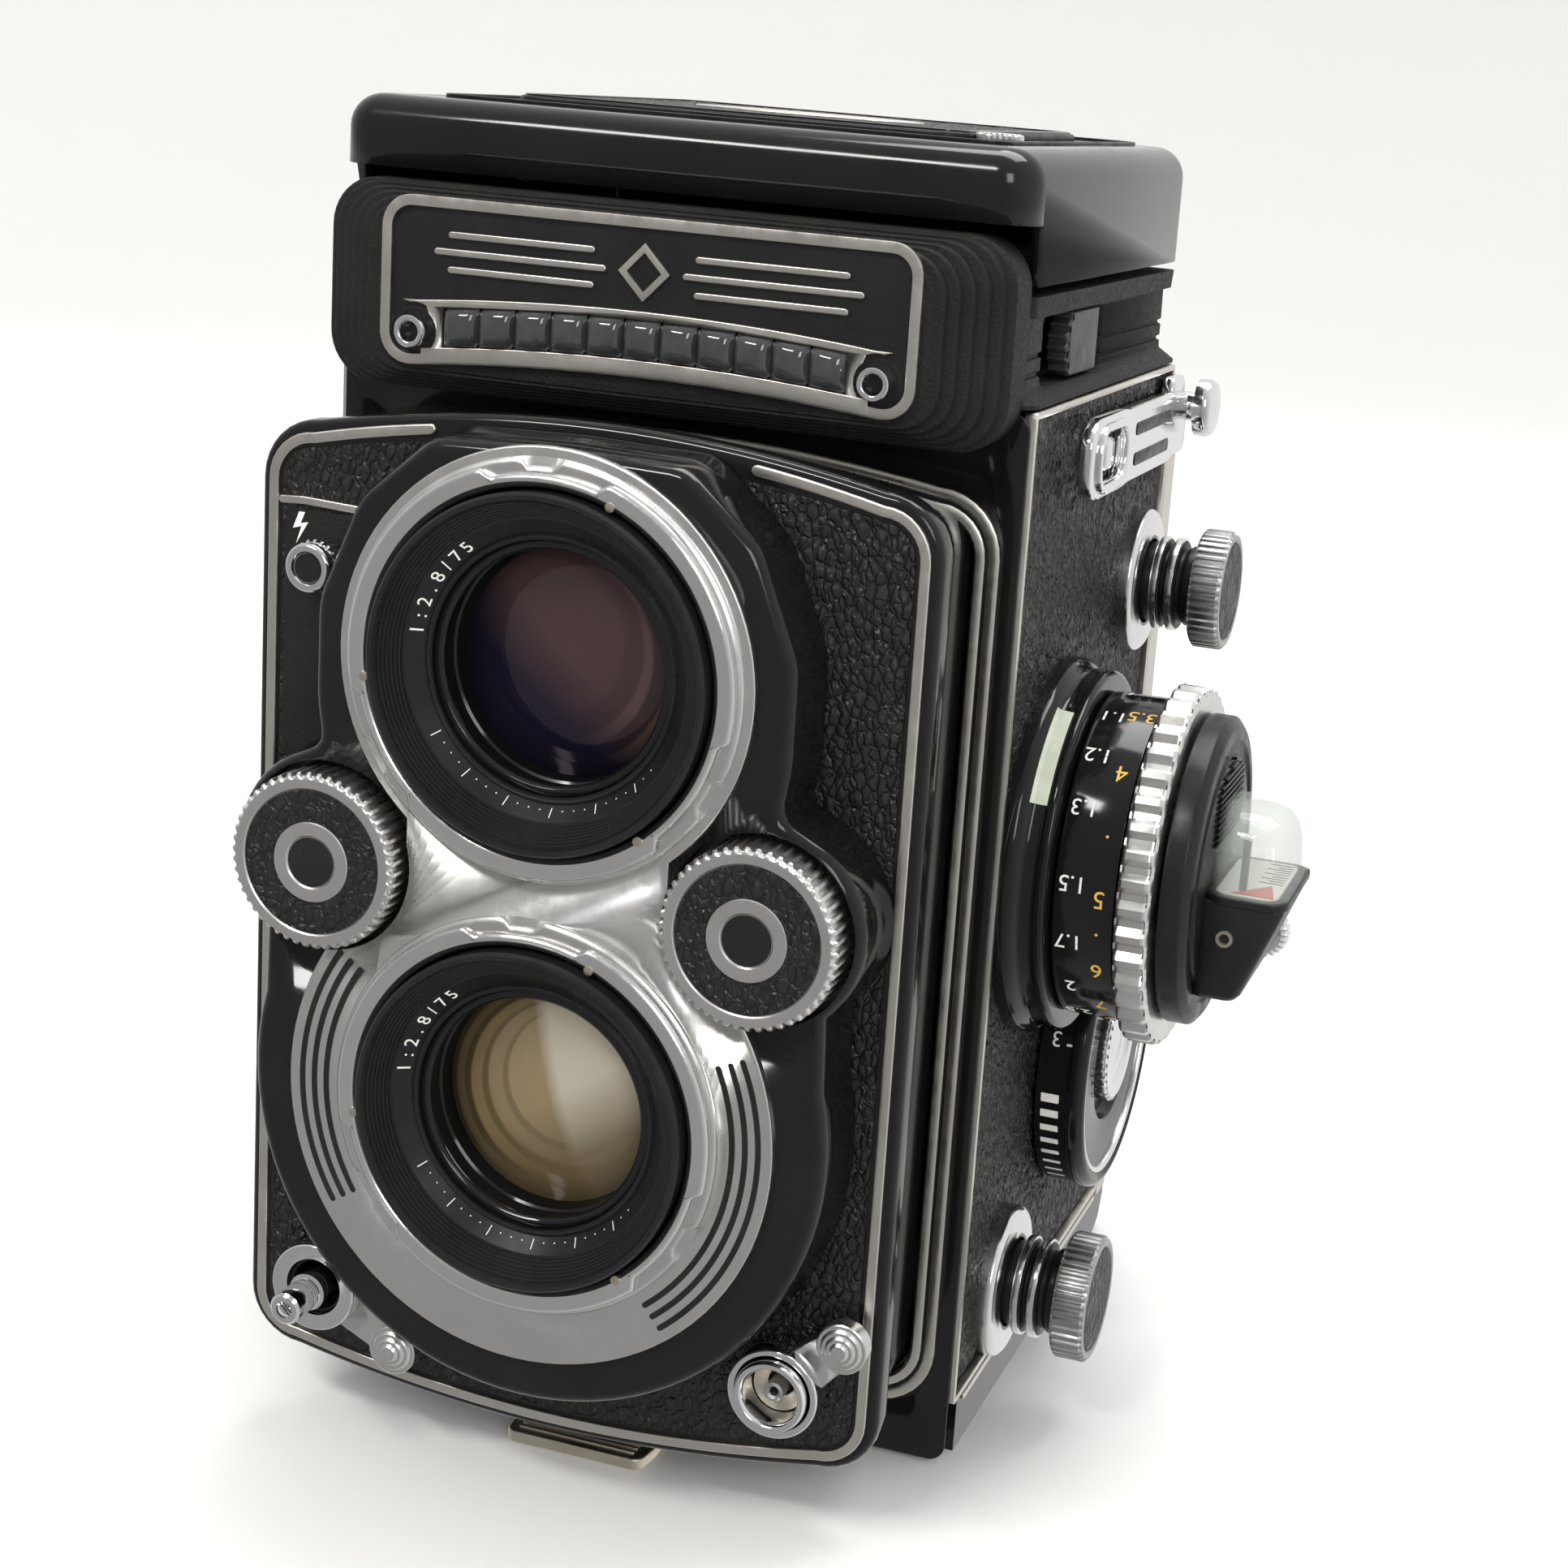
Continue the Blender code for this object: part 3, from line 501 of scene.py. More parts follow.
def arc_points(centre, radius, start, end, steps):
    made = []
    for i in range(steps + 1):
        t = math.radians(start + (end - start) * i / steps)
        made.append((centre[0] + radius * math.cos(t), centre[1] + radius * math.sin(t)))
    return made


def rounded_rect(a0, a1, b0, b1, radius, arc=6):
    points = []
    corners = ((a1 - radius, b0 + radius, -90), (a1 - radius, b1 - radius, 0))
    corners += ((a0 + radius, b1 - radius, 90), (a0 + radius, b0 + radius, 180))
    for ca, cb, start in corners:
        points += arc_points((ca, cb), radius, start, start + 90, arc)
    return points


def barrel_half(half_w, low_mid, low_side, high_side, high_mid, corner, steps=14, arc=8):
    """Right half of an outline with arched bottom and top and rounded corners, bottom to top."""
    reach = half_w - corner
    lower, upper = [], []
    for i in range(steps + 1):
        x = reach * i / steps
        lower.append((x, low_mid + (low_side - low_mid) * (x / half_w) ** 2))
        upper.append((x, high_mid - (high_mid - high_side) * (x / half_w) ** 2))
    lower += arc_points((reach, lower[-1][1] + corner), corner, -90, 0, arc)[1:]
    upper += list(reversed(arc_points((reach, upper[-1][1] - corner), corner, 0, 90, arc)[:-1]))
    return lower + list(reversed(upper))


def mirrored(right):
    """A whole outline from its right half, whose first and last points lie on the middle line."""
    return right + [(-x, z) for x, z in reversed(right[1:-1])]


def barrel_outline(*sizes):
    return mirrored(barrel_half(*sizes))


def block(xs, ys, zs, radius=0.2, steps=2):
    """A box whose edges are all rounded, from stacked outlines."""
    soft = min(radius, (xs[1] - xs[0]) / 2.2, (ys[1] - ys[0]) / 2.2)
    outline = rounded_rect(xs[0], xs[1], ys[0], ys[1], soft, max(2, steps))
    lip = min(soft, (zs[1] - zs[0]) / 2.2) * 0.9
    return slab(outline, "z", zs[0], zs[1], lip, lip, steps)


def cutter(bm, target):
    """Cuts a closed shape out of a piece, for good, so that the cut moves with the piece."""
    tool = mesh_object("cutting_tool", bm)
    mod = target.modifiers.new("cut", "BOOLEAN")
    mod.object = tool
    mod.solver = "EXACT"
    whole = target.data
    target.data = bpy.data.meshes.new_from_object(target.evaluated_get(bpy.context.evaluated_depsgraph_get()))
    target.modifiers.clear()
    bpy.data.meshes.remove(whole)
    bpy.data.objects.remove(tool)


def bores(radius, places, reach=(-30, -8), count=48):
    """Cutting tools along Y at each x, z place, reaching from the first y to the second."""
    return merge([turned([(radius, y) for y in reach], "y", place, count) for place in places])


def soften(obj, width, segments=2, angle=35):
    mod = obj.modifiers.new("soft_edges", "BEVEL")
    mod.width = width * MM
    mod.segments = segments
    mod.limit_method = "ANGLE"
    mod.angle_limit = math.radians(angle)
    return obj


def lettering(text, size, place, extrude=0.02):
    """Numerals as a closed mesh; place(u, v, w) puts each point, w being the height of the paint."""
    curve = bpy.data.curves.new("numerals", "FONT")
    curve.body = text
    curve.size = size
    curve.align_x = "CENTER"
    curve.align_y = "CENTER"
    curve.extrude = extrude
    curve.resolution_u = 4
    holder = bpy.data.objects.new("numerals", curve)
    bpy.context.scene.collection.objects.link(holder)
    graph = bpy.context.evaluated_depsgraph_get()
    mesh = bpy.data.meshes.new_from_object(holder.evaluated_get(graph))
    bm = bmesh.new()
    bm.from_mesh(mesh)
    bmesh.ops.triangulate(bm, faces=bm.faces)
    for vert in bm.verts:
        vert.co = place(vert.co.x, vert.co.y, vert.co.z)
    bpy.data.objects.remove(holder)
    bpy.data.meshes.remove(mesh)
    return bm


def merge(bms):
    """Joins several bmeshes into the first."""
    base = bms[0]
    for other in bms[1:]:
        mesh = bpy.data.meshes.new("joined")
        other.to_mesh(mesh)
        other.free()
        base.from_mesh(mesh)
        bpy.data.meshes.remove(mesh)
    return base


# ---------------------------------------------------------------- body and hood
def dress(node, mat, bevel=0.0):
    """Gives a CAD node that stays its finer material and soft edges."""
    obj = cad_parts[node]
    obj.data.materials.clear()
    obj.data.materials.append(MAT[mat])
    if bevel:
        soften(obj, bevel)
    return obj


def grain_height(a, b, seed):
    """Relief of pebbled leather, from 0 to 1, at a place given in millimetres."""
    place = Vector((a * 0.72 + noise.noise((a * 0.6, b * 0.6, seed)) * 0.5, b * 0.52, seed))
    near, second = noise.voronoi(place)[0][:2]
    return min(1.0, (second - near) * 2.6) * 0.75 + 0.25 * noise.noise((a * 2.1, b * 1.7, seed + 5))


def grid_sheet(cols, rows, point):
    """A sheet of quads through point(i, k), and its vertices by column."""
    bm = bmesh.new()
    grid = [[bm.verts.new(point(i, k)) for k in range(rows + 1)] for i in range(cols + 1)]
    for i in range(cols):
        for k in range(rows):
            bm.faces.new((grid[i][k], grid[i + 1][k], grid[i + 1][k + 1], grid[i][k + 1]))
    return bm, grid


def leather_sheet(axis, u_span, v_span, face, relief, step=0.55):
    """A sheet with real grain: a fine grid whose far side is flat at face, lifted by relief."""
    cols = int((u_span[1] - u_span[0]) / step)
    rows = int((v_span[1] - v_span[0]) / step)

    def grain_point(i, k):
        u = u_span[0] + (u_span[1] - u_span[0]) * i / cols
        v = v_span[0] + (v_span[1] - v_span[0]) * k / rows
        rim = min(i, cols - i, k, rows - k)
        lift_by = relief * (0.45 + 0.55 * grain_height(u, v, face)) * min(1.0, rim / 2)
        return lift(axis, u, v, face + lift_by)

    bm, grid = grid_sheet(cols, rows, grain_point)
    border = [grid[i][0] for i in range(cols + 1)] + [grid[cols][k] for k in range(1, rows + 1)]
    border += [grid[i][rows] for i in range(cols - 1, -1, -1)]
    border += [grid[0][k] for k in range(rows - 1, 0, -1)]
    drop = lift(axis, 0, 0, -math.copysign(0.25, relief))
    back = [bm.verts.new(vert.co + drop) for vert in border]
    for i, vert in enumerate(border):
        j = (i + 1) % len(border)
        bm.faces.new((border[j], vert, back[i], back[j]))
    bm.faces.new(back)
    return bm


def body_shell():
    dress("body_casting", "lacquer")
    front = slab(rounded_rect(-SIDE_X, SIDE_X, 0.4, 119.2, 2.0), "y", 0.0, -0.28, 0.05, 0.22)
    bezel = piece("front_plate", front, "lacquer", "body")
    slot_outline = barrel_outline(34.8, 7.1, 10.1, 108.5, 111.9, 5.5)
    cutter(stepped(slot_outline, "y", [(0, -3), (0, 3)]), bezel)
    outer = barrel_outline(37.5, 4.6, 8.0, 109.4, 113.2, 7.0)
    double = [(0.0, -0.25), (0.0, -0.9), (0.25, -1.05), (0.95, -1.05), (1.2, -0.9), (1.25, -0.55)]
    double += [(1.55, -0.55), (1.6, -0.9), (1.85, -1.05), (2.5, -1.05), (2.75, -0.85), (2.75, -0.25)]
    piece("front_double_trim", stepped(outer, "y", double, closed=True), "trim", "body",
            stands_for="front_trim_frame")
    groove = inset(outer, 1.2)
    dark = stepped(groove, "y", [(0, -0.4), (0, -0.72), (0.4, -0.72), (0.4, -0.4)], closed=True)
    piece("front_trim_groove", dark, "satin_black", "body")


def side_covering(name, sign):
    face = 38.95 * sign
    sheet = leather_sheet("x", (1.2, 63.6), (8.2, 118.4), face, 0.62 * sign, 0.48)
    piece(name + "_grain", sheet, "leather", "body", stands_for=name, sharp=80)
    rim = rounded_rect(0.15, 64.2, 7.35, 119.3, 0.7, 3)
    piece(name + "_edging", band(rim, "x", 0.75, 38.6 * sign, 39.95 * sign, 0.12), "trim", "body")


def strap_lug(name, sign):
    """Chrome carrier with a wide loop in front, two dark inlays and a round stud behind."""
    def x(value):
        return sign * value
    z = 113.0
    top = [(12.4, 2.6), (15.2, 4.5), (27.5, 4.5), (30.0, 4.2), (50.5, 4.2), (52.5, 3.7), (58.8, 3.7)]
    outline = [(y, z + dz) for y, dz in top] + [(y, z - dz) for y, dz in reversed(top)]
    bm = slab(soft_outline(outline, 1.6, 4), "x", x(41.6), x(43.1), 0.15, 0.45, 4)
    carrier = piece(name + "_carrier", bm, "chrome", "body", stands_for=name)
    eye = rounded_rect(15.6, 26.6, z - 2.7, z + 2.7, 2.2)
    cutter(stepped(eye, "x", [(0, x(38)), (0, x(47))]), carrier)
    soften(carrier, 0.25, 3)
    section = [(0.0, x(42.9)), (0.15, x(43.75)), (1.1, x(43.6)), (1.2, x(41.8))]
    lip = stepped(inset(eye, -1.25), "x", soft_outline(section, 0.5, 3), closed=True)
    piece(name + "_loop_lip", lip, "chrome", "body")
    foot = slab(rounded_rect(29.0, 59.5, z - 3.4, z + 3.4, 1.0), "x", x(39.9), x(41.7), 0.1, 0.3)
    piece(name + "_foot", foot, "chrome", "body")
    for number, dz in enumerate((-1.75, 1.75)):
        bar = slab(rounded_rect(32.0, 49.0, z + dz - 0.75, z + dz + 0.75, 0.5, 3), "x", x(43.0), x(43.2),
                0.02, 0.06)
        piece(f"{name}_inlay_{number + 1}", bar, "satin_black", "body")
    pin = rounded([(0.0, x(40.5)), (1.8, x(40.5)), (1.8, x(43.9))], 0.1)
    pin += rounded([(3.5, x(43.9)), (3.6, x(45.3)), (3.1, x(46.1)), (0.01, x(46.4))], 0.4, 4)
    piece(name + "_stud", turned(pin[1:], "x", (61.2, z + 1.6), 40), "chrome", "body")
    back = slab(rounded_rect(57.5, 64.2, z - 3.2, z + 5.2, 1.8), "x", x(39.9), x(41.4), 0.1, 0.3)
    piece(name + "_rear_pad", back, "chrome", "body")
    hook = slab(rounded_rect(21.6, 25.2, z - 2.2, z + 1.9, 1.3), "x", x(39.9), x(42.6), 0.1, 1.0, 4)
    piece(name + "_spring_hook", hook, "chrome", "body")


def nameplate():
    """Ridged surround, black plate, rounded silver frame and an arched band round the meter cells."""
    steps = [(0.0, -0.35), (0.0, -5.3), (0.4, -5.7)]
    depth, y = 0.9, -5.7
    for _ in range(5):
        steps += [(depth, y), (depth + 0.2, y - 0.62), (depth + 0.45, y - 0.74)]
        depth += 1.32
        y -= 0.66
    steps += [(depth, y), (depth + 0.15, PLATE_FACE_Y + 0.15), (depth + 0.5, PLATE_FACE_Y)]
    outline = rounded_rect(-38.4, 38.4, 115.1, 137.0, 5.4, 10)
    rings = []
    for d, h, _ in rounded(steps, 0.16, 2):
        across = 1 - d / 38.4
        upright = 1 - d * 0.32 / 10.9
        rings.append([lift("y", a * across, 126.2 + (b - 126.2) * upright, h) for a, b in outline])
    piece("nameplate_surround", skin(rings), "wrinkle", "body", stands_for="nameplate_housing")

    face = PLATE_FACE_Y - 0.05
    frame_line = rounded_rect(-29.9, 29.9, 118.1, 135.8, 3.4, 8)

    def arch(x):
        return 1.35 * (1 - (x / 26.0) ** 2) if abs(x) < 26 else 0.0

    def arched(half, z, steps=30):
        """An arched line from right to left, half being its half width."""
        return [(x, z + arch(x)) for x in (half - 2 * half * i / steps for i in range(steps + 1))]
    upper = [p for p in frame_line if p[1] > 121.6]
    corner_right = arc_points((26.5, 121.5), 3.4, -90, -4, 8)
    corner_left = arc_points((-26.5, 121.5), 3.4, 184, 270, 8)
    outline = upper + corner_left + list(reversed(arched(26, 118.1, 24))) + corner_right
    plate = slab(inset(outline, 0.5), "y", PLATE_FACE_Y + 0.3, face - 0.12, 0.05, 0.05)
    piece("nameplate_field", plate, "satin_black", "body")
    piece("nameplate_rim", band(outline, "y", 1.15, face, face - 0.62, 0.12), "trim", "body",
            stands_for="nameplate_frame")

    # arched silver band with ears that run out over the posts
    sill = arched(25.0, 118.2) + list(reversed(arched(25.0, 119.9)))
    piece("meter_cell_sill", slab(sill, "y", face, face - 0.66, 0.05, 0.12), "trim", "body")
    ears = arched(27.3, 124.9) + arc_points((-25.8, 121.7), 3.0, 112, 64, 5)[1:]
    ears += arc_points((-25.8, 121.7), 2.5, 50, -62, 8) + list(reversed(arched(24.2, 118.6)))
    ears += arc_points((25.8, 121.7), 2.5, 242, 130, 8)
    ears += arc_points((25.8, 121.7), 3.0, 116, 68, 5)[:-1]
    surround = piece("meter_cell_surround", slab(ears, "y", face, face - 0.62, 0.05, 0.12), "trim", "body")
    window = arched(22.6, 119.75, 24) + list(reversed(arched(22.6, 124.05, 24)))
    cutter(stepped(window, "y", [(0, -14), (0, -5)]), surround)
    # near-black bed under the lenslets: painted shade in the window's recess
    piece("meter_cell_bed", slab(inset(window, -0.2), "y", face, face - 0.2, 0.05, 0.05), "recess_shade", "body")

    # eleven domed lenslets
    cells, steps, pitch = 11, 10, 4.1
    lenslets = []
    for number in range(cells):
        def domed(i, k, middle_x=(number - cells // 2) * pitch):
            u, v = 2 * i / steps - 1, 2 * k / steps - 1
            swell = max(0.0, 1 - abs(u) ** 2.2) ** 0.5 * max(0.0, 1 - abs(v) ** 2.4) ** 0.5
            x = middle_x + u * pitch * 0.49
            return x, face - 0.2 - 1.25 * swell, 121.95 + arch(x) + v * 2.1
        bm, _ = grid_sheet(steps, steps, domed)
        bmesh.ops.contextual_create(bm, geom=[e for e in bm.edges if e.is_boundary])
        lenslets.append(bm)
    piece("meter_cell_lenslets", merge(lenslets), "cell", "body", stands_for="meter_cell_window", sharp=60)
    for name, sign in (("left", -1), ("right", 1)):
        centre = (sign * 25.8, 121.7)
        post = rounded([(1.72, face), (1.72, face - 2.0), (1.1, face - 2.0), (0.95, face - 0.4)], 0.22, 3)
        bm = turned(post + [(0.9, face, 0)], "y", centre, 40, ring=True)
        piece(f"meter_post_{name}_tube", bm, "chrome", "body", stands_for=f"meter_post_{name}")
        ring = [(2.62, face), (2.62, face - 0.18), (2.2, face - 0.18), (2.1, face)]
        shadow = lathe(ring, (0.05, 2), "y", centre, 40, ring=True)
        piece(f"meter_post_{name}_shadow", shadow, "recess_shade", "body")

    # plain ornament in place of lettering: three bars either side of a lozenge
    bars = []
    for sign in (-1, 1):
        for k, z in enumerate((128.4, 130.2, 132.0)):
            reach = 23.5 - abs(k - 1) * 1.6
            path = [(sign * (4.6 + abs(k - 1) * 1.3), z), (sign * reach, z)]
            bars.append(slab(ribbon(path, 0.72), "y", face - 0.1, face - 0.5, 0.02, 0.14))
    diamond = [(0, 127.2), (2.9, 130.2), (0, 133.2), (-2.9, 130.2)]
    bars.append(band(diamond, "y", 0.72, face - 0.1, face - 0.5, 0.1))
    piece("nameplate_ornament", merge(bars), "trim", "body")


def hood_base():
    """Stepped base under the hood: a flange on top, two grooves and a sloping ledge below."""
    outline = rounded_rect(-38.7, 38.7, 0.2, 64.5, 1.6, 6)
    section = [(-1.2, 119.55), (-1.2, 119.9), (0.9, 121.3), (0.95, 122.2), (1.35, 122.3), (1.35, 122.7),
            (0.95, 122.8)]
    section += [(0.95, 124.2), (1.35, 124.3), (1.35, 124.7), (0.95, 124.8), (1.0, 128.6), (0.1, 128.7),
            (-0.1, 130.9)]
    section = rounded(section, 0.14, 2)
    rings = [[lift("z", a, b, h) for a, b in inset(outline, max(d, -1.0))] for d, h, _ in section]
    well = rounded_rect(-31.5, 31.5, 9.0, 60.0, 1.6, 6)
    floor = rounded_rect(-28.5, 28.5, 12.0, 57.0, 1.6, 6)
    for line, h in ((well, 131.0), (well, 123.0), (floor, 123.0), (floor, 119.55)):
        rings.append([lift("z", a, b, h) for a, b in line])
    base = piece("hood_base_ring", skin(rings, closed=True), "wrinkle", "body",
            stands_for="hood_base_frame")
    for sign in (-1, 1):
        line = rounded_rect(7.6, 33.0, 121.0, 128.4, 1.0, 4)
        cutter(stepped(line, "x", [(0, sign * 34.4), (0, sign * 42)]), base)
        # a near-black sheet at the back of each bay: painted shade in the recess
        bay_shade_sheet = slab(rounded_rect(7.4, 33.2, 120.8, 128.6, 0.8, 3), "x", sign * 34.0, sign * 34.6, 0.02,
                0.02)
        piece(f"release_bay_shade_{sign + 1}", bay_shade_sheet, "recess_shade", "body")
    dress("focusing_screen", "screen", 0.2)
    dress("reflex_mirror", "mirror", 0.15)


def hood_release():
    """Grip with a wavy front edge that a finger drags back."""
    low, high = span("hood_release")
    z0, z1 = low.z + 0.2, high.z - 0.2
    teeth = 5.5
    front = []
    for i in range(45):
        t = i / 44
        bulge = 1.8 * math.sin(math.pi * t)
        wave = 0.34 * math.cos(2 * math.pi * teeth * t)
        front.append((low.y + 1.9 - bulge + wave, z0 + (z1 - z0) * t))
    outline = front + [(high.y, z1), (high.y, z0)]
    piece("hood_release_grip", slab(outline, "x", low.x, high.x - 0.3, 0.1, 0.3), "spool", "hood_release",
            stands_for="hood_release")


def hood_lid():
    low, high = span("hood_lid")
    outline = rounded_rect(low.x, high.x, low.y, high.y, 4.4, 10)
    crown = 3.6
    wall = 1.3

    def crown_line(inwards, steps):
        """(inset, height) points over the rounded top edge, a wall's thickness inwards or not at all."""
        turns = [math.pi / 2 * i / steps for i in range(steps + 1)]
        size = crown - inwards
        return [(inwards + size * (1 - math.cos(t)), high.z - crown + size * math.sin(t)) for t in turns]
    rim = [(wall, low.z), (wall - 0.15, low.z), (0.15, low.z), (0.0, low.z + 0.15)]
    section = list(reversed(crown_line(wall, 5))) + rim + crown_line(0.0, 8)
    lid = piece("hood_lid_shell", stepped(outline, "z", section), "lacquer", "hood_lid",
            stands_for="hood_lid", sharp=45)
    front = [(low.y - 3, 110), (1.2, 110), (1.2, 134.9), (0.2, 138.1), (low.y - 3, 138.1)]
    cutter(stepped(front, "x", [(0, -60), (0, 60)]), lid)
    seat = rounded_rect(-27.0, 27.0, 11.0, 59.7, 4.0, 6)
    cutter(stepped(seat, "z", [(0, high.z - 0.75), (0, high.z + 3)]), lid)
    edge_line = rounded_rect(low.x + 6.2, high.x - 6.2, 6.0, 64.5, 3.0, 6)
    piece("hood_lid_top_border", band(edge_line, "z", 0.7, high.z - 0.1, high.z + 0.35, 0.15),
            "satin_black", "hood_lid")
    knob = [(2.6, high.z - 0.1, 0), (2.6, high.z + 0.25, 1), (2.6, high.z + 0.85, 1)]
    knob += [(2.2, high.z + 0.98, 0), (0.01, high.z + 0.98, 0)]
    bm = lathe(knob, (0.15, 3), "z", (29.2, 15.0), 96, flutes(24), 0.25)
    piece("finder_catch_knob", bm, "polished", "hood_lid")


def finder_flap():
    low, high = span("finder_flap")
    outline = rounded_rect(low.x, high.x, low.y, high.y, 3.6, 8)
    tray = slab(outline, "z", low.z, high.z - 0.25, 0.1, 0.3)
    piece("finder_flap_frame", tray, "satin_black", "finder_flap", stands_for="finder_flap")
    rim = band(inset(outline, 0.5), "z", 0.9, high.z - 0.4, high.z - 0.02, 0.15)
    piece("finder_flap_border", rim, "lacquer", "finder_flap")
    sheet = leather_sheet("z", (low.x + 2.0, high.x - 2.0), (low.y + 2.0, high.y - 2.0), high.z - 0.32,
            0.22)
    piece("finder_flap_leather", sheet, "leather", "finder_flap", sharp=80)
    centre = ((low.x + high.x) / 2, (low.y + high.y) / 2)
    turns = [2 * math.pi * i / 72 for i in range(72)]
    oval = [(centre[0] + 14 * math.cos(t), centre[1] + 6.5 * math.sin(t)) for t in turns]
    piece("finder_emblem_blank", slab(oval, "z", high.z - 0.3, high.z - 0.02, 0.05, 0.1), "trim",
            "finder_flap")


def hood_inside():
    for node in ("hood_side_left", "hood_side_right", "hood_back", "magnifier_frame"):
        dress(node, "satin_black", 0.15)
    low, high = span("magnifier_lens")
    centre = ((low.x + high.x) / 2, (low.y + high.y) / 2)
    radius = (high.x - low.x) / 2
    bulge, turns = 0.9, (0.02, 0.35, 0.7, 1.0, 1.3)
    profile = [(radius * math.sin(t), low.z + bulge - bulge * math.cos(t)) for t in turns]
    profile += [(radius, 139.2), (radius, 140.0)]
    profile += [(radius * math.sin(t), high.z - bulge + bulge * math.cos(t)) for t in reversed(turns)]
    piece("magnifier_glass", turned(profile, "z", centre, 48), "dome", "magnifier",
            stands_for="magnifier_lens", sharp=60)


# ---------------------------------------------------------------- front standard
def lens_board():
    outer = barrel_outline(37.4, 5.2, 9.6, 111.2, 115.8, 6.4)
    front = stepped(outer, "y", edge(BOARD_Y + 3.3, BOARD_Y, 0.3, 1.0, 5))
    board = piece("lens_board_plate", front, "lacquer", "front_standard", stands_for="lens_board")
    skirt = barrel_outline(34.3, 7.6, 10.6, 108.0, 111.4, 5.0)
    section = [(0.0, BOARD_Y + 2.9), (0.0, 2.6), (1.6, 2.6), (1.6, BOARD_Y + 2.9)]
    bm = stepped(skirt, "y", soft_outline(section, 0.2, 2), closed=True)
    shroud = piece("lens_board_skirt", bm, "lacquer", "front_standard")
    cutter(block((-33.5, 33.5), (-2.4, 9), (0, 19.6), 0.1), shroud)
    release_place = (-CORNER.x, CORNER.z)
    cutter(merge([bores(14.0, LENS_PLACES), bores(2.6, [release_place], count=32)]), board)

    right = barrel_half(35.65, 6.9, 11.0, 109.7, 114.4, 4.6)
    start = [p for p in reversed(right) if p[0] >= 15.9 or p[1] < 60]
    path = start + [(-x, z) for x, z in reversed(start) if x > 0]
    strip = slab(ribbon(path, 1.15), "y", BOARD_Y + 0.1, BOARD_Y - 0.42, 0.05, 0.2)
    piece("lens_board_line", strip, "trim", "front_standard")

    field = inset(outer, 2.75)
    skin_sheet = slab(field, "y", BOARD_Y + 0.1, BOARD_Y - 0.22, 0.02, 0.1)
    sheet = piece("lens_board_leather", skin_sheet, "leather", "front_standard")
    cutter(merge([bores(14.0, LENS_PLACES), bores(2.7, [release_place], count=32)]), sheet)
    panel = [(-34.3, 76.5), (-34.3, 103.4), (-24.2, 103.1), (-21.0, 98.0), (-20.0, 76.5)]
    piece("flash_switch_panel", slab(soft_outline(panel, 1.5, 4), "y", BOARD_Y, BOARD_Y - 0.36, 0.02, 0.12),
            "wrinkle", "front_standard")
    path = [(-34.6, 104.1), (-32.0, 104.25), (-24.4, 103.9)]
    piece("flash_panel_bar", slab(ribbon(path, 0.85), "y", BOARD_Y, BOARD_Y - 0.5, 0.02, 0.15), "trim",
            "front_standard")
    bolt = [(-32.6, 103.0), (-33.3, 101.2), (-32.3, 101.5), (-32.9, 99.6), (-31.5, 102.0), (-32.4, 101.8),
            (-31.9, 103.0)]
    piece("flash_mark", slab(bolt, "y", BOARD_Y - 0.3, BOARD_Y - 0.42, 0.01, 0.02), "white",
            "front_standard")


def mask_outline():
    right = arc_points((0, TAKE_Z), 32.3, -90, 14, 26)
    right += arc_points((WHEEL.x, WHEEL.z), 10.9, -48, 62, 12)
    top = [(25.2, 80.8), (26.0, 85.5), (26.0, 96.0), (21.6, 106.8), (13.6, 113.8), (0, 114.2)]
    right += [(a, b) for a, b, _ in rounded([right[-1], *top], 1.6, 3)][1:]
    return mirrored(right)


def masks():
    section = [(-0.5, BOARD_Y - 0.25), (-0.45, BOARD_Y - 0.9), (0.0, BOARD_Y - 2.2)]
    section += edge(MASK_Y + 5, MASK_Y, 0, 1.5, 6)[4:]
    mask = piece("lens_mask_shell", stepped(mask_outline(), "y", section), "lacquer", "front_standard",
            stands_for="lens_mask", sharp=50)
    wheel_places = [(s * WHEEL.x, WHEEL.z) for s in (-1, 1)]
    cutter(bores(18.6, LENS_PLACES, (-40, -12), 64), mask)
    cutter(bores(10.0, wheel_places, (-40, WHEEL_Y[1] + 0.4), 56), mask)

    right = arc_points((0, TAKE_Z), 27.2, -90, 42, 34)
    right += [(14.6, 67.6), (14.4, 72.4)]
    right += arc_points((0, VIEW_Z), 22.4, -50, 90, 34)
    plate = piece("face_plate_sheet", slab(mirrored(right), "y", MASK_Y + 0.1, PLATE_Y, 0.02, 0.2),
            "silver", "front_standard", stands_for="face_plate")
    cutter(bores(18.5, LENS_PLACES, (-40, -12), 64), plate)
    cutter(bores(10.0, wheel_places, (-40, -12), 56), plate)
    stripes = []
    for radius in (22.9, 24.3, 25.7):
        for start, end in ((147, 212), (-51, 24)):
            line = ribbon(arc_points((0, TAKE_Z), radius, start, end, 30), 0.62)
            stripes.append(slab(line, "y", PLATE_Y + 0.05, PLATE_Y - 0.04, 0.01, 0.01, 1))
    piece("face_plate_stripes", merge(stripes), "satin_black", "front_standard")


def smooth_pulse(angle, centre, half, soft=0.05):
    gap = abs((angle - centre + math.pi) % (2 * math.pi) - math.pi)
    return min(1.0, max(0.0, (half - gap) / soft + 0.5))


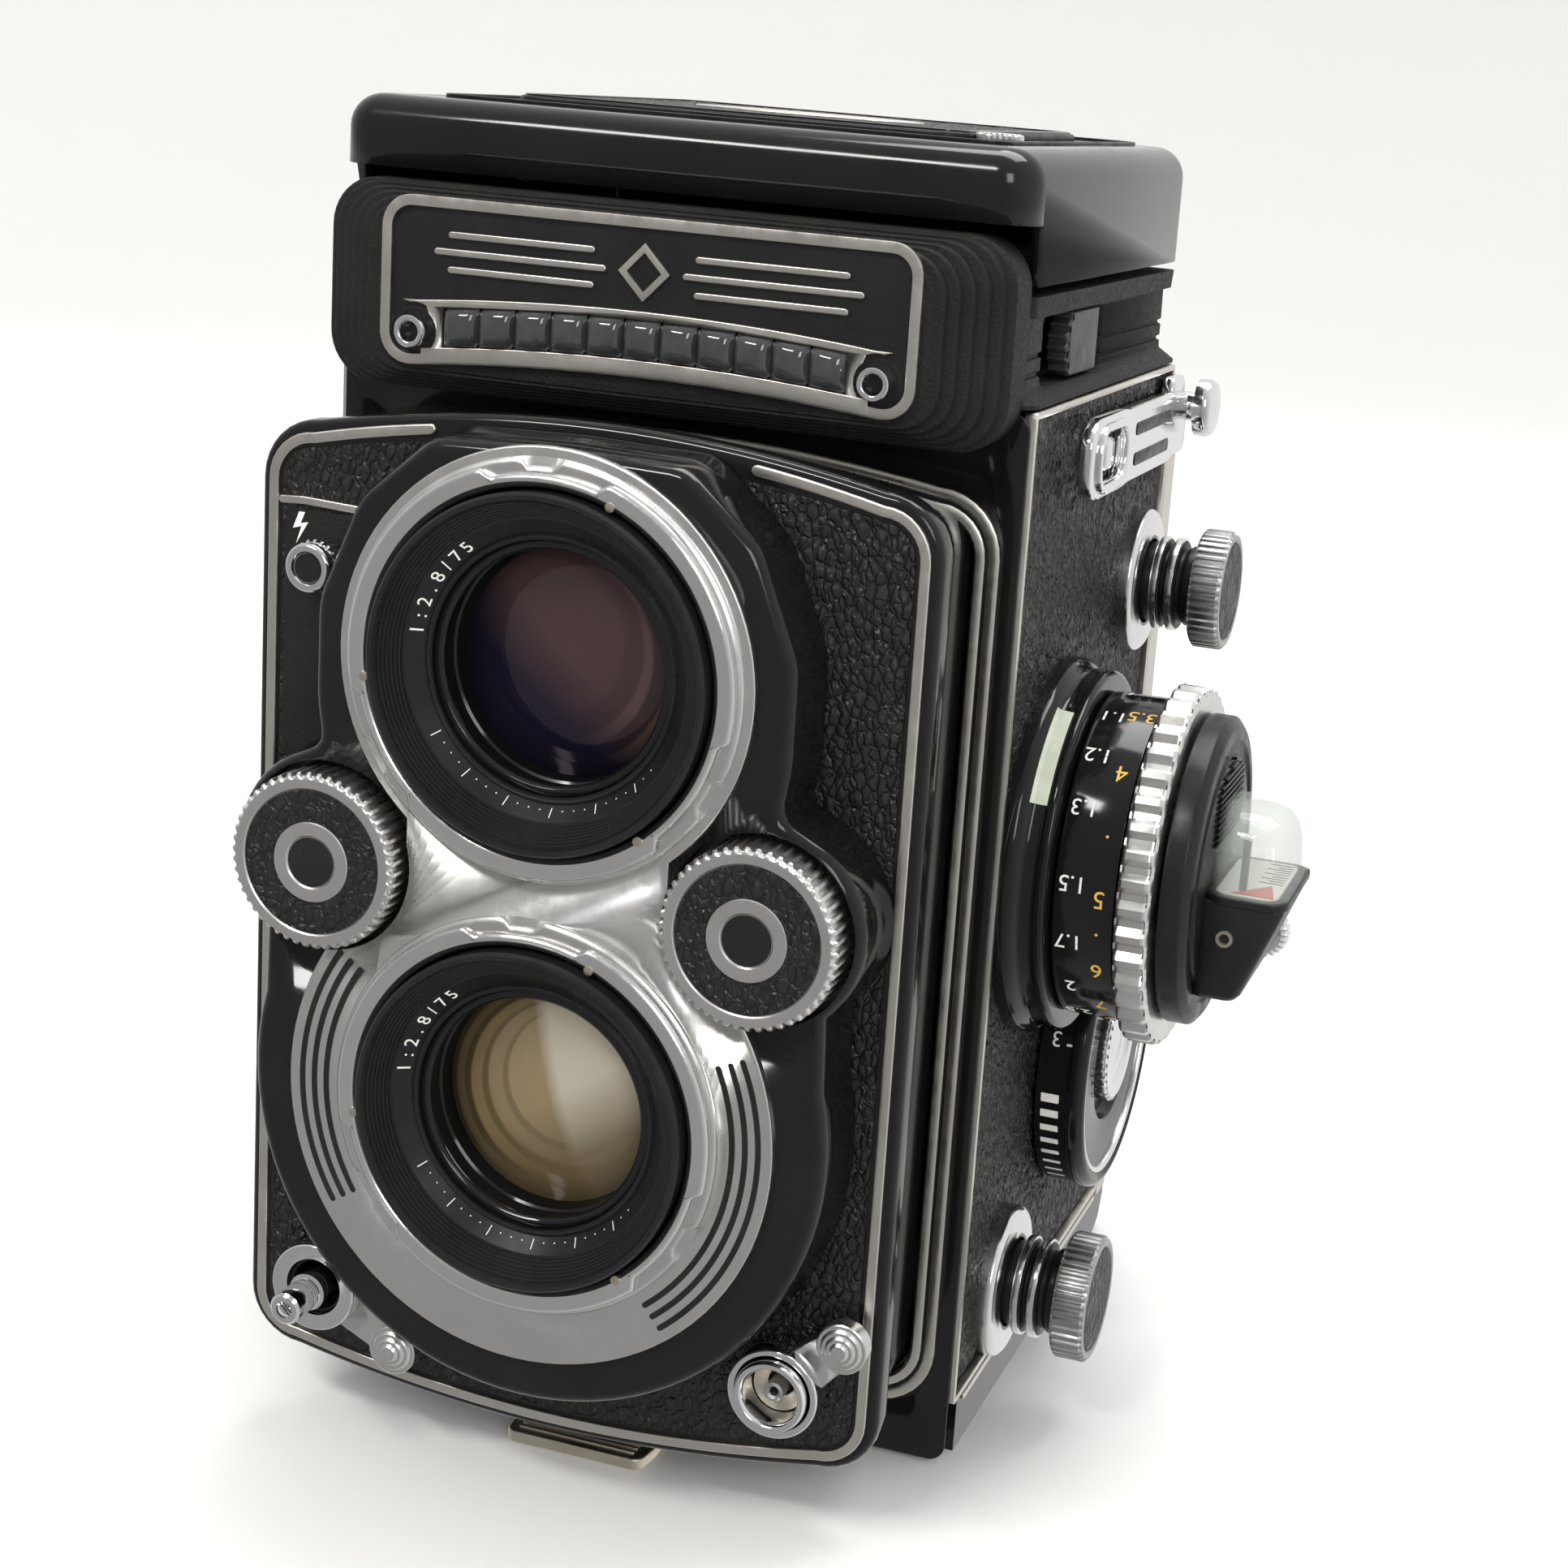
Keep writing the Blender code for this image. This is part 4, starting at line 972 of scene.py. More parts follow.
def bayonet(label, z):
    """Two-level ring: an outer flange with notches and an inner collar with three lugs."""
    def gaps(angle):
        return 1 - max(smooth_pulse(angle, math.radians(c), math.radians(42)) for c in (30, 150, 270))

    def notches(angle):
        return max(smooth_pulse(angle, math.radians(c), math.radians(5), 0.03) for c in (92, 212, 332))
    flange = [(RING_R + 0.4, PLATE_Y + 0.1, 0), (RING_R + 0.4, PLATE_Y - 0.45, 1),
            (RING_R - 0.1, PLATE_Y - 0.75, 1)]
    flange += [(19.4, PLATE_Y - 0.75, 0), (19.4, PLATE_Y + 0.1, 0)]
    bm = lathe(flange, (0.15, 2), "y", (0, z), 240, notches, 0.9, ring=True)
    piece(label + "_bayonet_flange", bm, "silver", "front_standard", stands_for=label + "_bayonet_ring")
    collar = [(RING_R - 0.5, PLATE_Y - 0.9, 1), (RING_R - 0.1, RING_Y + 0.35, 1), (RING_R - 0.6, RING_Y, 1)]
    collar += [(19.15, RING_Y, 0), (18.55, RING_Y + 0.5, 0), (18.35, RING_Y + 1.5, 0),
            (18.45, PLATE_Y + 0.2, 0), (19.6, PLATE_Y - 0.5, 0.4)]
    bm = lathe(collar, (0.18, 2), "y", (0, z), 240, gaps, 1.0, ring=True)
    piece(label + "_bayonet_collar", bm, "polished", "front_standard")
    screws = []
    for deg in (68, 188, 308):
        t = math.radians(deg)
        place = (18.95 * math.cos(t), z + 18.95 * math.sin(t))
        head = [(0.01, RING_Y - 0.1), (0.35, RING_Y - 0.1), (0.5, RING_Y - 0.04), (0.5, RING_Y + 0.3)]
        screws.append(turned(head, "y", place, 20))
    piece(label + "_bayonet_screws", merge(screws), "brass", "front_standard")


def barrel(label, z, mat):
    r, y = BARREL_R, BARREL_Y
    profile = [(r, BOARD_Y + 0.2), (r, y + 0.35), (r - 0.3, y), (r - 0.75, y), (r - 0.95, y + 0.35)]
    rad, h = r - 1.0, y + 0.45
    for _ in range(7):
        profile += [(rad, h), (rad - 0.05, h + 0.28), (rad - 0.24, h + 0.30)]
        rad -= 0.27
        h += 0.34
    profile += [(rad - 0.1, h), (13.75, h + 1.55), (13.45, h + 1.3), (13.15, h + 1.45), (13.05, h + 3.0)]
    profile += [(13.05, BOARD_Y + 0.2)]
    piece(label + "_barrel_tube", turned(profile, "y", (0, z), 128, ring=True), "satin_black",
            "front_standard", stands_for=label + "_lens_barrel", sharp=25)

    # a glossy throat that leads down to the coloured lens group
    deep = span(label + "_front_element")[1].y - 1.0
    throat = [(13.0, h + 1.4), (12.85, h + 3.2), (12.6, h + 3.4), (12.5, h + 5.0), (12.25, h + 5.2),
            (12.1, deep)]
    throat += [(13.6, deep), (13.6, h + 1.4)]
    piece(label + "_throat", turned(throat, "y", (0, z), 128, ring=True), "lacquer", "front_standard",
            sharp=25)
    lip = [(12.95, h + 1.9), (12.3, h + 1.7), (11.9, h + 2.1), (11.95, h + 2.35), (12.95, h + 2.5)]
    piece(label + "_glass_bevel", lathe(lip, (0.12, 3), "y", (0, z), 128, ring=True), "lacquer",
            "front_standard", sharp=50)
    radius, curve = 12.05, 30.0
    points = []
    for i in range(17):
        rr = radius * (1 - i / 16) + 0.01
        rise = math.sqrt(curve * curve - rr * rr) - math.sqrt(curve * curve - radius * radius)
        points.append((rr, deep - 0.1 - rise))
    glass = turned(points + [(0.01, deep + 0.6), (radius, deep + 0.6)], "y", (0, z), 96)
    piece(label + "_lens_group", glass, mat, "front_standard", stands_for=label + "_front_element",
            sharp=50)
    return rad, h


def ring_marks(label, z, rad, h):
    """Painted ticks and the plain optical figures on the sloping name ring."""
    slope = (13.75 - (rad - 0.1), 1.55)
    length = math.hypot(*slope)
    along = (slope[0] / length, slope[1] / length)
    mid = ((rad - 0.1 + 13.75) / 2, h + 0.775)

    def on_ring(deg):
        def place(u, v, w):
            # v runs outwards from the glass, w stands off the slope
            r = mid[0] - along[0] * v - along[1] * w * 0.6
            t = math.radians(deg) - u / mid[0]
            return Vector((r * math.cos(t), mid[1] - along[1] * v - abs(along[0]) * w * 0.6 - 0.02,
                    z + r * math.sin(t)))
        return place
    marks = [lettering(s, 2.1, on_ring(171 - k * 6.0)) for k, s in enumerate("1:2.8/75")]
    for k in range(23):
        deg = 214 + k * 5.0
        marks.append(lettering("." if k % 4 else "|", 1.3, on_ring(deg)))
    piece(label + "_ring_marks", merge(marks), "white", "front_standard")


def wheel(name, sign):
    centre = (sign * WHEEL.x, WHEEL.z)
    back, front = WHEEL_Y[1] - 0.06, WHEEL_Y[0]
    r = WHEEL_R
    profile = [(7.0, back, 0), (r - 0.7, back, 0), (r, back - 0.45, 1), (r, front + 0.55, 1),
            (r - 0.35, front + 0.15, 0.7)]
    profile += [(r - 0.75, front, 0), (r - 1.62, front, 0), (r - 1.74, front + 0.16, 0),
            (r * 0.455, front + 0.16, 0)]
    profile += [(r * 0.445, front, 0), (r * 0.30, front, 0), (r * 0.288, front + 0.16, 0),
            (0.01, front + 0.16, 0)]
    bm = lathe(profile, (0.09, 2), "y", centre, 300, flutes(50, 1.6), 0.42)
    piece(name + "_rim", bm, "silver", name, stands_for=name, sharp=28)
    ring = [(r - 1.78, front + 0.2), (r - 1.82, front + 0.05), (r * 0.46, front + 0.05),
            (r * 0.455, front + 0.2)]
    piece(name + "_leather_ring", lathe(ring, (0.05, 2), "y", centre, 96, ring=True), "leather", name)
    dot = [(0.01, front + 0.06), (r * 0.27, front + 0.06), (r * 0.284, front + 0.2)]
    piece(name + "_centre", turned(dot, "y", centre, 48), "satin_black", name)


def stacked_disc(centre, y, radius=2.75):
    """Small disc tip turned in four concentric steps."""
    profile = [(radius, y + 2.6), (radius, y + 0.95)]
    for k in range(4):
        rr = radius - k * 0.62
        yy = y + 0.95 - k * 0.3
        profile += [(rr, yy), (rr - 0.12, yy - 0.1), (rr - 0.45, yy - 0.1)]
    profile += [(0.01, y - 0.3)]
    return turned(profile, "y", centre, 40)


def corner_lever(name, body, centre, tip, inner_r):
    low, high = span(name)
    a, b = Vector(centre), Vector(tip)
    along = (b - a).normalized()
    side = Vector((-along.y, along.x))
    outline = [a + side * 3.0, b + side * 2.0, b - side * 2.0, a - side * 3.0]
    arm = slab([tuple(p) for p in outline], "y", high.y, high.y - 2.1, 0.05, 0.3)
    arm_piece = piece(name + "_arm", arm, "silver", body, stands_for=name)
    cutter(turned([(4.7, -30), (4.7, -12)], "y", centre, 48), arm_piece)
    hub = [(5.0, high.y), (5.0, low.y + 0.4), (4.8, low.y + 0.2), (4.3, low.y + 0.2),
            (inner_r + 0.05, low.y + 0.5), (inner_r, high.y)]
    piece(name + "_hub", lathe(hub, (0.12, 2), "y", centre, 64, ring=True), "chrome", body)
    piece(name + "_tip", stacked_disc(tip, low.y), "silver", body)


def corner_controls():
    left, right = (-CORNER.x, CORNER.z), (CORNER.x, CORNER.z)
    corner_lever("release_lock_lever", "release_lock_lever", left, (-17.4, 12.4), 3.2)
    corner_lever("flash_lock_lever", "flash_lock_lever", right, (34.0, 24.4), 4.1)
    collar = [(3.15, BOARD_Y), (3.15, BOARD_Y - 3.2), (2.85, BOARD_Y - 3.2), (2.85, BOARD_Y)]
    piece("release_collar", lathe(collar, (0.08, 2), "y", left, 48, ring=True), "satin_black",
            "front_standard")
    low, high = span("release_button")
    stem = [(2.1, high.y, 0), (2.1, low.y + 4.6, 0), (1.75, low.y + 4.4, 0)]
    for k in range(3):
        yy = low.y + 4.1 - k * 0.42
        stem += [(1.75, yy + 0.1, 0), (1.58, yy, 0), (1.75, yy - 0.1, 0)]
    stem += [(1.8, low.y + 2.6, 0), (1.8, low.y + 0.3, 0), (1.5, low.y, 0), (0.95, low.y, 0)]
    for k in range(5):
        yy = low.y + 0.3 + k * 0.45
        stem += [(0.95, yy, 0), (0.8, yy + 0.22, 0)]
    stem += [(0.01, low.y + 2.6, 0)]
    piece("release_plunger", turned(stem, "y", left, 40), "chrome", "release_button",
            stands_for="release_button", sharp=25)

    low, high = span("flash_socket")
    shell = [(4.0, high.y), (4.0, low.y + 0.5), (3.8, low.y), (3.35, low.y), (3.0, low.y + 0.5),
            (2.9, high.y)]
    piece("flash_socket_shell", lathe(shell, (0.15, 2), "y", right, 64, ring=True), "chrome",
            "front_standard", stands_for="flash_socket")
    well = [(2.95, high.y - 0.4), (2.85, high.y - 1.4), (1.5, high.y - 0.7), (1.4, high.y - 0.4)]
    piece("flash_socket_well", turned(well, "y", right, 48, ring=True), "brass", "front_standard")
    pin = [(1.05, high.y - 0.3), (1.05, low.y + 1.6), (0.75, low.y + 1.45), (0.5, low.y + 1.7),
            (0.45, high.y - 0.6), (0.01, high.y - 0.6)]
    piece("flash_socket_pin", turned(pin, "y", right, 32), "cast", "front_standard")


def sync_selector():
    low, high = span("sync_selector")
    centre = (middle("sync_selector").x, middle("sync_selector").z)
    profile = [(2.5, high.y, 1), (2.8, high.y - 0.5, 1), (2.8, high.y - 2.2, 1), (2.45, high.y - 2.5, 0)]
    profile += [(2.55, low.y + 1.0, 0), (2.6, low.y + 0.3, 0), (2.3, low.y, 0), (1.75, low.y, 0),
            (1.6, low.y + 0.3, 0), (0.01, low.y + 0.35, 0)]
    bm = lathe(profile, (0.1, 2), "y", centre, 120, flutes(20, 1.6), 0.3)
    piece("sync_selector_knob", bm, "chrome", "sync_selector", stands_for="sync_selector", sharp=28)
    dot = [(0.01, low.y + 0.2), (1.5, low.y + 0.2), (1.6, low.y + 0.4)]
    piece("sync_selector_centre", turned(dot, "y", centre, 32), "satin_black", "sync_selector")


# ---------------------------------------------------------------- right side
def focus_flange():
    low, high = span("focus_flange")
    c = (FOCUS.y, FOCUS.z)
    r = (high.y - low.y) / 2
    base = low.x
    profile = [(r, base - 0.6), (r, base + 1.0), (r - 0.5, base + 1.7), (r - 1.2, base + 2.2),
            (r - 1.4, base + 3.6)]
    profile += [(r - 1.0, base + 4.0), (r - 1.0, base + 4.7), (r - 1.4, base + 5.05), (17.0, base + 5.05),
            (0.01, base + 5.05)]
    bm = lathe(profile, (0.35, 3), "x", c, 128)
    flange = piece("focus_flange_body", bm, "lacquer", "body", stands_for="focus_flange")
    dial_r = (span("film_speed_dial")[1].y - span("film_speed_dial")[0].y) / 2
    cutter(turned([(dial_r + 0.6, 36), (dial_r + 0.6, 60)], "x", (DIAL.y, DIAL.z), 64), flange)
    post = turned([(7.4, base + 4.6), (7.4, 59.2), (6.9, 59.4)], "x", c, 48)
    piece("focus_post", post, "cast", "body")
    # curved scale window let into the upper front of the flange
    section = [(r - 0.15, base + 1.15), (r - 1.05, base + 2.25), (r - 1.2, base + 3.7)]
    section += [(r - 1.6, base + 3.6), (r - 1.6, base + 1.2)]
    rings = []
    for i in range(17):
        t = math.radians(118 + 34 * i / 16)
        rings.append([Vector((x, c[0] + rr * math.cos(t), c[1] + rr * math.sin(t))) for rr, x in section])
    piece("focus_scale_window", skin(rings), "ivory", "body")


def on_drum(x0, deg, radius):
    """Places figures on the focusing drum, read from the grip side with their tops down."""
    def place(u, v, w):
        t = math.radians(deg) - v / radius
        r = radius + w
        return Vector((x0 - u, FOCUS.y - r * math.cos(t), FOCUS.z + r * math.sin(t)))
    return place


def focus_knob():
    low, high = span("focus_drum")
    c = (FOCUS.y, FOCUS.z)
    r = (high.y - low.y) / 2
    profile = [(8.3, low.x), (r - 0.2, low.x), (r, low.x + 0.25), (r, high.x - 0.1), (8.3, high.x)]
    piece("focus_drum_shell", lathe(profile, (0.12, 2), "x", c, 128, ring=True), "lacquer", "focus_knob",
            stands_for="focus_drum")
    metres = (("1.1", 71), ("1.2", 51), ("1.3", 31), ("1.5", 5), ("1.7", -16), ("2", -37), ("2.5", -58),
            ("3", -80), ("4", -105), ("6", -130), ("12", -156), ("1", 96))
    feet = (("3.5", 73), ("4", 45), (".", 20), ("5", 1), (".", -14), ("6", -27), ("7", -47), ("8", -68),
            ("10", -90), ("15", -116), ("25", -142), ("3", 108))
    x_white, x_amber = low.x + 2.0, low.x + 5.1
    piece("focus_scale_metres", merge([lettering(s, 2.6, on_drum(x_white, deg, r)) for s, deg in metres]),
            "white", "focus_knob")
    piece("focus_scale_feet", merge([lettering(s, 2.8, on_drum(x_amber, deg, r)) for s, deg in feet]),
            "amber_paint", "focus_knob")

    low, high = span("focus_grip_ring")
    r = (high.y - low.y) / 2
    profile = [(8.3, low.x, 0), (r - 1.1, low.x, 0), (r - 0.15, low.x + 0.25, 1), (r, low.x + 0.5, 1),
            (r, high.x - 0.6, 1)]
    profile += [(r - 0.35, high.x - 0.2, 0.5), (r - 1.1, high.x, 0), (8.3, high.x, 0)]
    bm = lathe(profile, (0.14, 2), "x", c, 336, flutes(42, 2.6), 0.75, ring=True)
    piece("focus_grip_ring_ribbed", bm, "silver", "focus_knob", stands_for="focus_grip_ring", sharp=25)


def meter():
    """Cap inside the grip ring, a wedge that carries the clear domed scale, and its small fittings."""
    low, high = span("meter_housing")
    c = (FOCUS.y, FOCUS.z)
    r = 17.6
    x0 = low.x
    cap = [(8.2, x0), (r, x0), (r, x0 + 2.4), (r - 1.1, x0 + 3.2), (r - 2.6, x0 + 3.3), (r - 2.8, x0 + 2.9)]
    cap += [(r - 4.2, x0 + 2.9), (r - 4.4, x0 + 3.3), (0.01, x0 + 3.3), (0.01, x0 + 2.2), (8.2, x0 + 2.2)]
    piece("meter_cap", lathe(cap, (0.25, 3), "x", c, 128), "satin_black", "body",
            stands_for="meter_housing")
    ribs = []
    for k in range(13):
        z = 4.6 + k * 0.72
        half = min(6.6, math.sqrt(max(0.0, 12.6 ** 2 - z * z)))
        rib = rounded_rect(c[0] - half, c[0] + half, c[1] + z - 0.16, c[1] + z + 0.16, 0.14, 2)
        ribs.append(slab(rib, "x", x0 + 3.2, x0 + 3.75, 0.02, 0.1, 2))
    piece("meter_cap_ribs", merge(ribs), "satin_black", "body")

    # the wedge: deep at the scale, thinner towards its foot
    top, foot = c[1] - 0.9, c[1] - 12.6
    deep = span("meter_window")[1].x - 0.5
    rings = []
    levels = [(foot, 1.6, 0.9), (foot + 0.3, 0.7, 0.3), (foot + 1.1, 0.1, 0.0), (top - 0.6, 0.0, 0.0),
            (top, 0.3, 0.2)]
    for z, draw, back in levels:
        share = (z - foot) / (top - foot)
        outer = x0 + 3.0 + 4.6 + (deep - x0 - 7.6) * share ** 0.9 - back
        line = rounded_rect(c[0] - 8.6 + draw, c[0] + 10.3 - draw, x0 + 2.6, outer, 1.2, 6)
        rings.append([Vector((b, a, z)) for a, b in line])
    piece("meter_wedge", skin(rings), "satin_black", "body", sharp=40)
    seat = rounded_rect(c[0] - 8.7, c[0] + 8.7, x0 + 3.1, deep + 0.1, 2.2, 8)
    piece("meter_window_seat", slab([(b, a) for a, b in seat], "z", top - 0.3, top + 0.6, 0.15, 0.2),
            "satin_black", "body")

    # clear dome: half-round seen from the side, rolling down to the cap behind
    dome_low, dome_high = top + 0.5, top + 9.8
    outer_rings, inner_rings = [], []
    for shell, bucket in ((0.0, outer_rings), (0.7, inner_rings)):
        for k in range(11):
            t = math.pi / 2 * k / 10
            height = dome_low + (dome_high - dome_low - shell) * math.sin(t)
            half = (8.5 - shell) * max(0.05, math.cos(t)) ** 0.45
            far = deep - 0.1 - shell - 3.4 * (1 - math.cos(t)) ** 1.6
            near = x0 + 3.4 + shell * 0.4
            line = rounded_rect(near, far, c[0] - half, c[0] + half, min(2.6, half * 0.7), 6)
            bucket.append([Vector((a, b, height)) for a, b in line])
    piece("meter_dome", skin(list(reversed(inner_rings)) + outer_rings), "dome", "body",
            stands_for="meter_window", sharp=50)

    card = rounded_rect(x0 + 4.0, deep - 1.2, c[0] - 7.4, c[0] + 7.4, 1.4, 4)
    piece("meter_scale_card", slab(card, "z", top + 0.3, top + 0.75, 0.05, 0.08), "scale_card", "body")
    wedge = [(deep - 1.6, c[0] - 7.0), (deep - 6.4, c[0] - 7.0), (deep - 2.6, c[0] - 2.2)]
    piece("meter_red_zone", slab(wedge, "z", top + 0.72, top + 0.84, 0.01, 0.03), "red", "body")
    ticks = []
    for k in range(9):
        y = c[0] - 1.2 + k * 0.95
        end = deep - (3.4 if k % 2 else 4.4)
        tick = [(deep - 1.6, y - 0.1), (end, y - 0.1), (end, y + 0.1), (deep - 1.6, y + 0.1)]
        ticks.append(slab(tick, "z", top + 0.72, top + 0.8, 0.01, 0.01, 1))
    piece("meter_scale_ticks", merge(ticks), "satin_black", "body")
    dress("meter_needle", "satin_black", 0.1)

    head = [(0.01, c[0] - 8.55), (0.5, c[0] - 8.55), (0.6, c[0] - 8.75), (0.95, c[0] - 8.75),
            (1.05, c[0] - 8.5)]
    piece("meter_adjusting_screw", turned(head, "y", (x0 + 5.9, c[1] - 5.0), 32), "brass", "body")
    low, high = span("meter_side_knob")
    profile = [(2.4, low.y, 0), (3.0, low.y + 0.3, 1), (3.2, low.y + 0.6, 1), (3.2, high.y - 0.7, 1),
            (2.8, high.y - 0.2, 0.4), (2.2, high.y, 0), (0.01, high.y, 0)]
    mid = middle("meter_side_knob")
    bm = lathe(profile, (0.12, 2), "y", (mid.x, mid.z), 144, flutes(24, 1.6), 0.3)
    piece("meter_side_knob_serrated", bm, "polished", "meter_side_knob", stands_for="meter_side_knob",
            sharp=28)


def film_speed_dial():
    low, high = span("film_speed_dial")
    c = (DIAL.y, DIAL.z)
    r = (high.y - low.y) / 2
    profile = [(r - 0.3, low.x), (r - 0.3, high.x - 2.3), (r, high.x - 2.0), (r, high.x - 0.9),
            (r - 0.5, high.x - 0.3), (r - 1.1, high.x - 0.1)]
    profile += [(r - 1.5, high.x - 0.5), (r - 2.6, high.x - 0.9), (9.6, high.x - 0.9), (9.3, high.x - 2.2),
            (0.01, high.x - 2.2)]
    piece("film_speed_drum", lathe(profile, (0.2, 3), "x", c, 128), "lacquer", "film_speed_dial",
            stands_for="film_speed_dial")
    ring = [(r - 1.75, high.x - 0.75), (r - 1.9, high.x - 0.3), (r - 2.5, high.x - 0.45),
            (r - 2.6, high.x - 1.0)]
    piece("film_speed_bright_ring", lathe(ring, (0.12, 2), "x", c, 96, ring=True), "polished",
            "film_speed_dial")
    wheel_profile = [(7.1, high.x - 2.3, 0), (7.2, high.x - 1.4, 1), (7.2, high.x - 0.3, 1),
            (6.6, high.x, 0)]
    wheel_profile += [(5.0, high.x, 0), (4.7, high.x - 0.5, 0), (3.0, high.x - 0.7, 0),
            (0.01, high.x - 0.7, 0)]
    bm = lathe(wheel_profile, (0.12, 2), "x", c, 216, flutes(36, 1.6), 0.4)
    piece("film_speed_wheel", bm, "chrome", "film_speed_dial", sharp=28)

    def on_rim(deg, x_mid):
        def place(u, v, w):
            t = math.radians(deg) - v / r
            rr = r - 0.3 + w
            return Vector((x_mid - u, c[0] - rr * math.cos(t), c[1] + rr * math.sin(t)))
        return place
    mid = (low.x + high.x - 2.3) / 2
    marks = [lettering("3", 2.7, on_rim(19, mid - 0.1))]
    for number in range(8):
        deg = -5 - number * 6.8
        thick = 1.15 - number * 0.12
        bar = rounded_rect(-1.1, 1.1, -thick / 2, thick / 2, 0.1, 2)
        bm = slab(bar, "z", 0, 0.04, 0.0, 0.01, 1)
        place = on_rim(deg, mid - 0.1)
        for vert in bm.verts:
            vert.co = place(vert.co.x, vert.co.y, vert.co.z)
        marks.append(bm)
    dash = slab(rounded_rect(-1.9, -1.2, -0.15, 0.15, 0.1, 2), "z", 0, 0.04, 0, 0.01, 1)
    for vert in dash.verts:
        vert.co = on_rim(17, mid)(vert.co.x, vert.co.y, vert.co.z)
    marks.append(dash)
    piece("film_speed_marks", merge(marks), "white", "film_speed_dial")


def spool_knob(label):
    stem_low, stem_high = span(label + "_spool_stem")
    c = (middle(label + "_spool_knob").y, middle(label + "_spool_knob").z)
    # washer fixed to the body
    washer = [(8.8, SIDE_X - 0.3), (8.8, SIDE_X + 1.6), (8.2, SIDE_X + 2.1), (6.6, SIDE_X + 2.3),
            (5.6, SIDE_X + 2.3), (5.5, SIDE_X - 0.3)]
    piece(label + "_spool_washer", lathe(washer, (0.25, 3), "x", c, 96, ring=True), "polished", "body")
    stem = [(0.01, stem_low.x), (4.9, stem_low.x), (4.9, SIDE_X + 3.2)]
    for k in range(2):
        x = SIDE_X + 3.6 + k * 1.9
        stem += [(5.3, x - 0.25), (5.5, x), (5.5, x + 0.75), (5.3, x + 0.95), (4.5, x + 1.0),
                (4.5, x + 1.45)]
    stem += [(4.9, stem_high.x - 0.7), (4.9, stem_high.x), (0.01, stem_high.x)]
    piece(label + "_spool_stem_grooved", lathe(stem, (0.08, 2), "x", c, 64), "satin_black",
            label + "_spool_stem", stands_for=label + "_spool_stem", sharp=28)
    rings = []
    for k in range(2):
        x = SIDE_X + 3.35 + k * 1.9
        rings.append(lathe([(5.35, x), (5.75, x + 0.1), (5.75, x + 0.95), (5.35, x + 1.05)], (0.08, 2), "x",
                c, 64, ring=True))
    piece(label + "_spool_stem_rings", merge(rings), "polished", label + "_spool_stem", sharp=28)
    low, high = span(label + "_spool_knob")
    r = (high.y - low.y) / 2
    head = [(5.2, low.x, 0), (r - 0.5, low.x, 0), (r, low.x + 0.35, 1), (r, high.x - 0.45, 1),
            (r - 0.45, high.x - 0.05, 0.2), (r - 1.0, high.x, 0), (r - 1.15, high.x - 0.25, 0),
            (0.01, high.x - 0.25, 0)]
    bm = lathe([(0.01, low.x, 0)] + head, (0.1, 2), "x", c, 264, flutes(44, 1.6), 0.3)
    body = label + "_spool_knob"
    piece(body + "_head", bm, "steel", body, stands_for=body, sharp=28)
    disc = [(r - 1.2, high.x - 0.3), (r - 1.35, high.x - 0.06), (2.0, high.x - 0.02), (0.01, high.x - 0.02)]
    piece(body + "_disc", turned(disc, "x", c, 64), "leather", body)


# ---------------------------------------------------------------- left side, back and inside
def crank():
    low, high = span("crank_plate")
    c = (CRANK.y, CRANK.z)
    profile = [(18.0, high.x), (18.0, high.x - 1.5), (17.5, high.x - 2.0), (16.4, high.x - 2.2),
            (16.1, high.x - 1.9), (13.6, high.x - 1.9)]
    profile += [(13.3, high.x - 2.3), (9.2, high.x - 2.3), (8.2, low.x + 0.2), (3.0, low.x), (0.01, low.x)]
    piece("crank_base_plate", lathe(profile, (0.2, 3), "x", c, 128), "silver", "body",
            stands_for="crank_plate")
    inlay = [(16.0, high.x - 1.8), (15.9, high.x - 2.1), (13.8, high.x - 2.1), (13.7, high.x - 1.8)]
    piece("crank_base_inlay", turned(inlay, "x", c, 96, ring=True), "leather", "body")

    low, high = span("crank_arm")
    hub = [(6.4, high.x), (6.4, high.x - 3.0), (5.9, high.x - 3.6), (3.2, low.x), (3.0, low.x + 0.4),
            (0.01, low.x + 0.4)]
    bar = [(c[0] - 3.6, c[1]), (c[0] - 3.2, c[1] - 26.0)]
    bar += arc_points((c[0], c[1] - 26.0), 3.6, 190, 350, 12)
    bar += [(c[0] + 3.2, c[1] - 26.0), (c[0] + 3.6, c[1])]
    arm = slab(bar, "x", high.x - 1.0, high.x - 3.0, 0.15, 0.45, 4)
    piece("crank_lever", merge([lathe(hub, (0.2, 3), "x", c, 64), arm]), "chrome", "crank",
            stands_for="crank_arm")
    low, high = span("crank_handle")
    hc = (middle("crank_handle").y, middle("crank_handle").z)
    knob = [(3.0, high.x, 0), (3.6, high.x - 0.4, 0), (4.6, high.x - 1.0, 1), (4.6, low.x + 1.2, 1),
            (4.0, low.x + 0.4, 0), (2.4, low.x, 0), (0.01, low.x + 0.1, 0)]
    bm = lathe(knob, (0.3, 3), "x", hc, 160, flutes(20, 1.4), 0.3)
    piece("crank_handle_grip", bm, "satin_black", "crank_handle", stands_for="crank_handle",
            sharp=30)


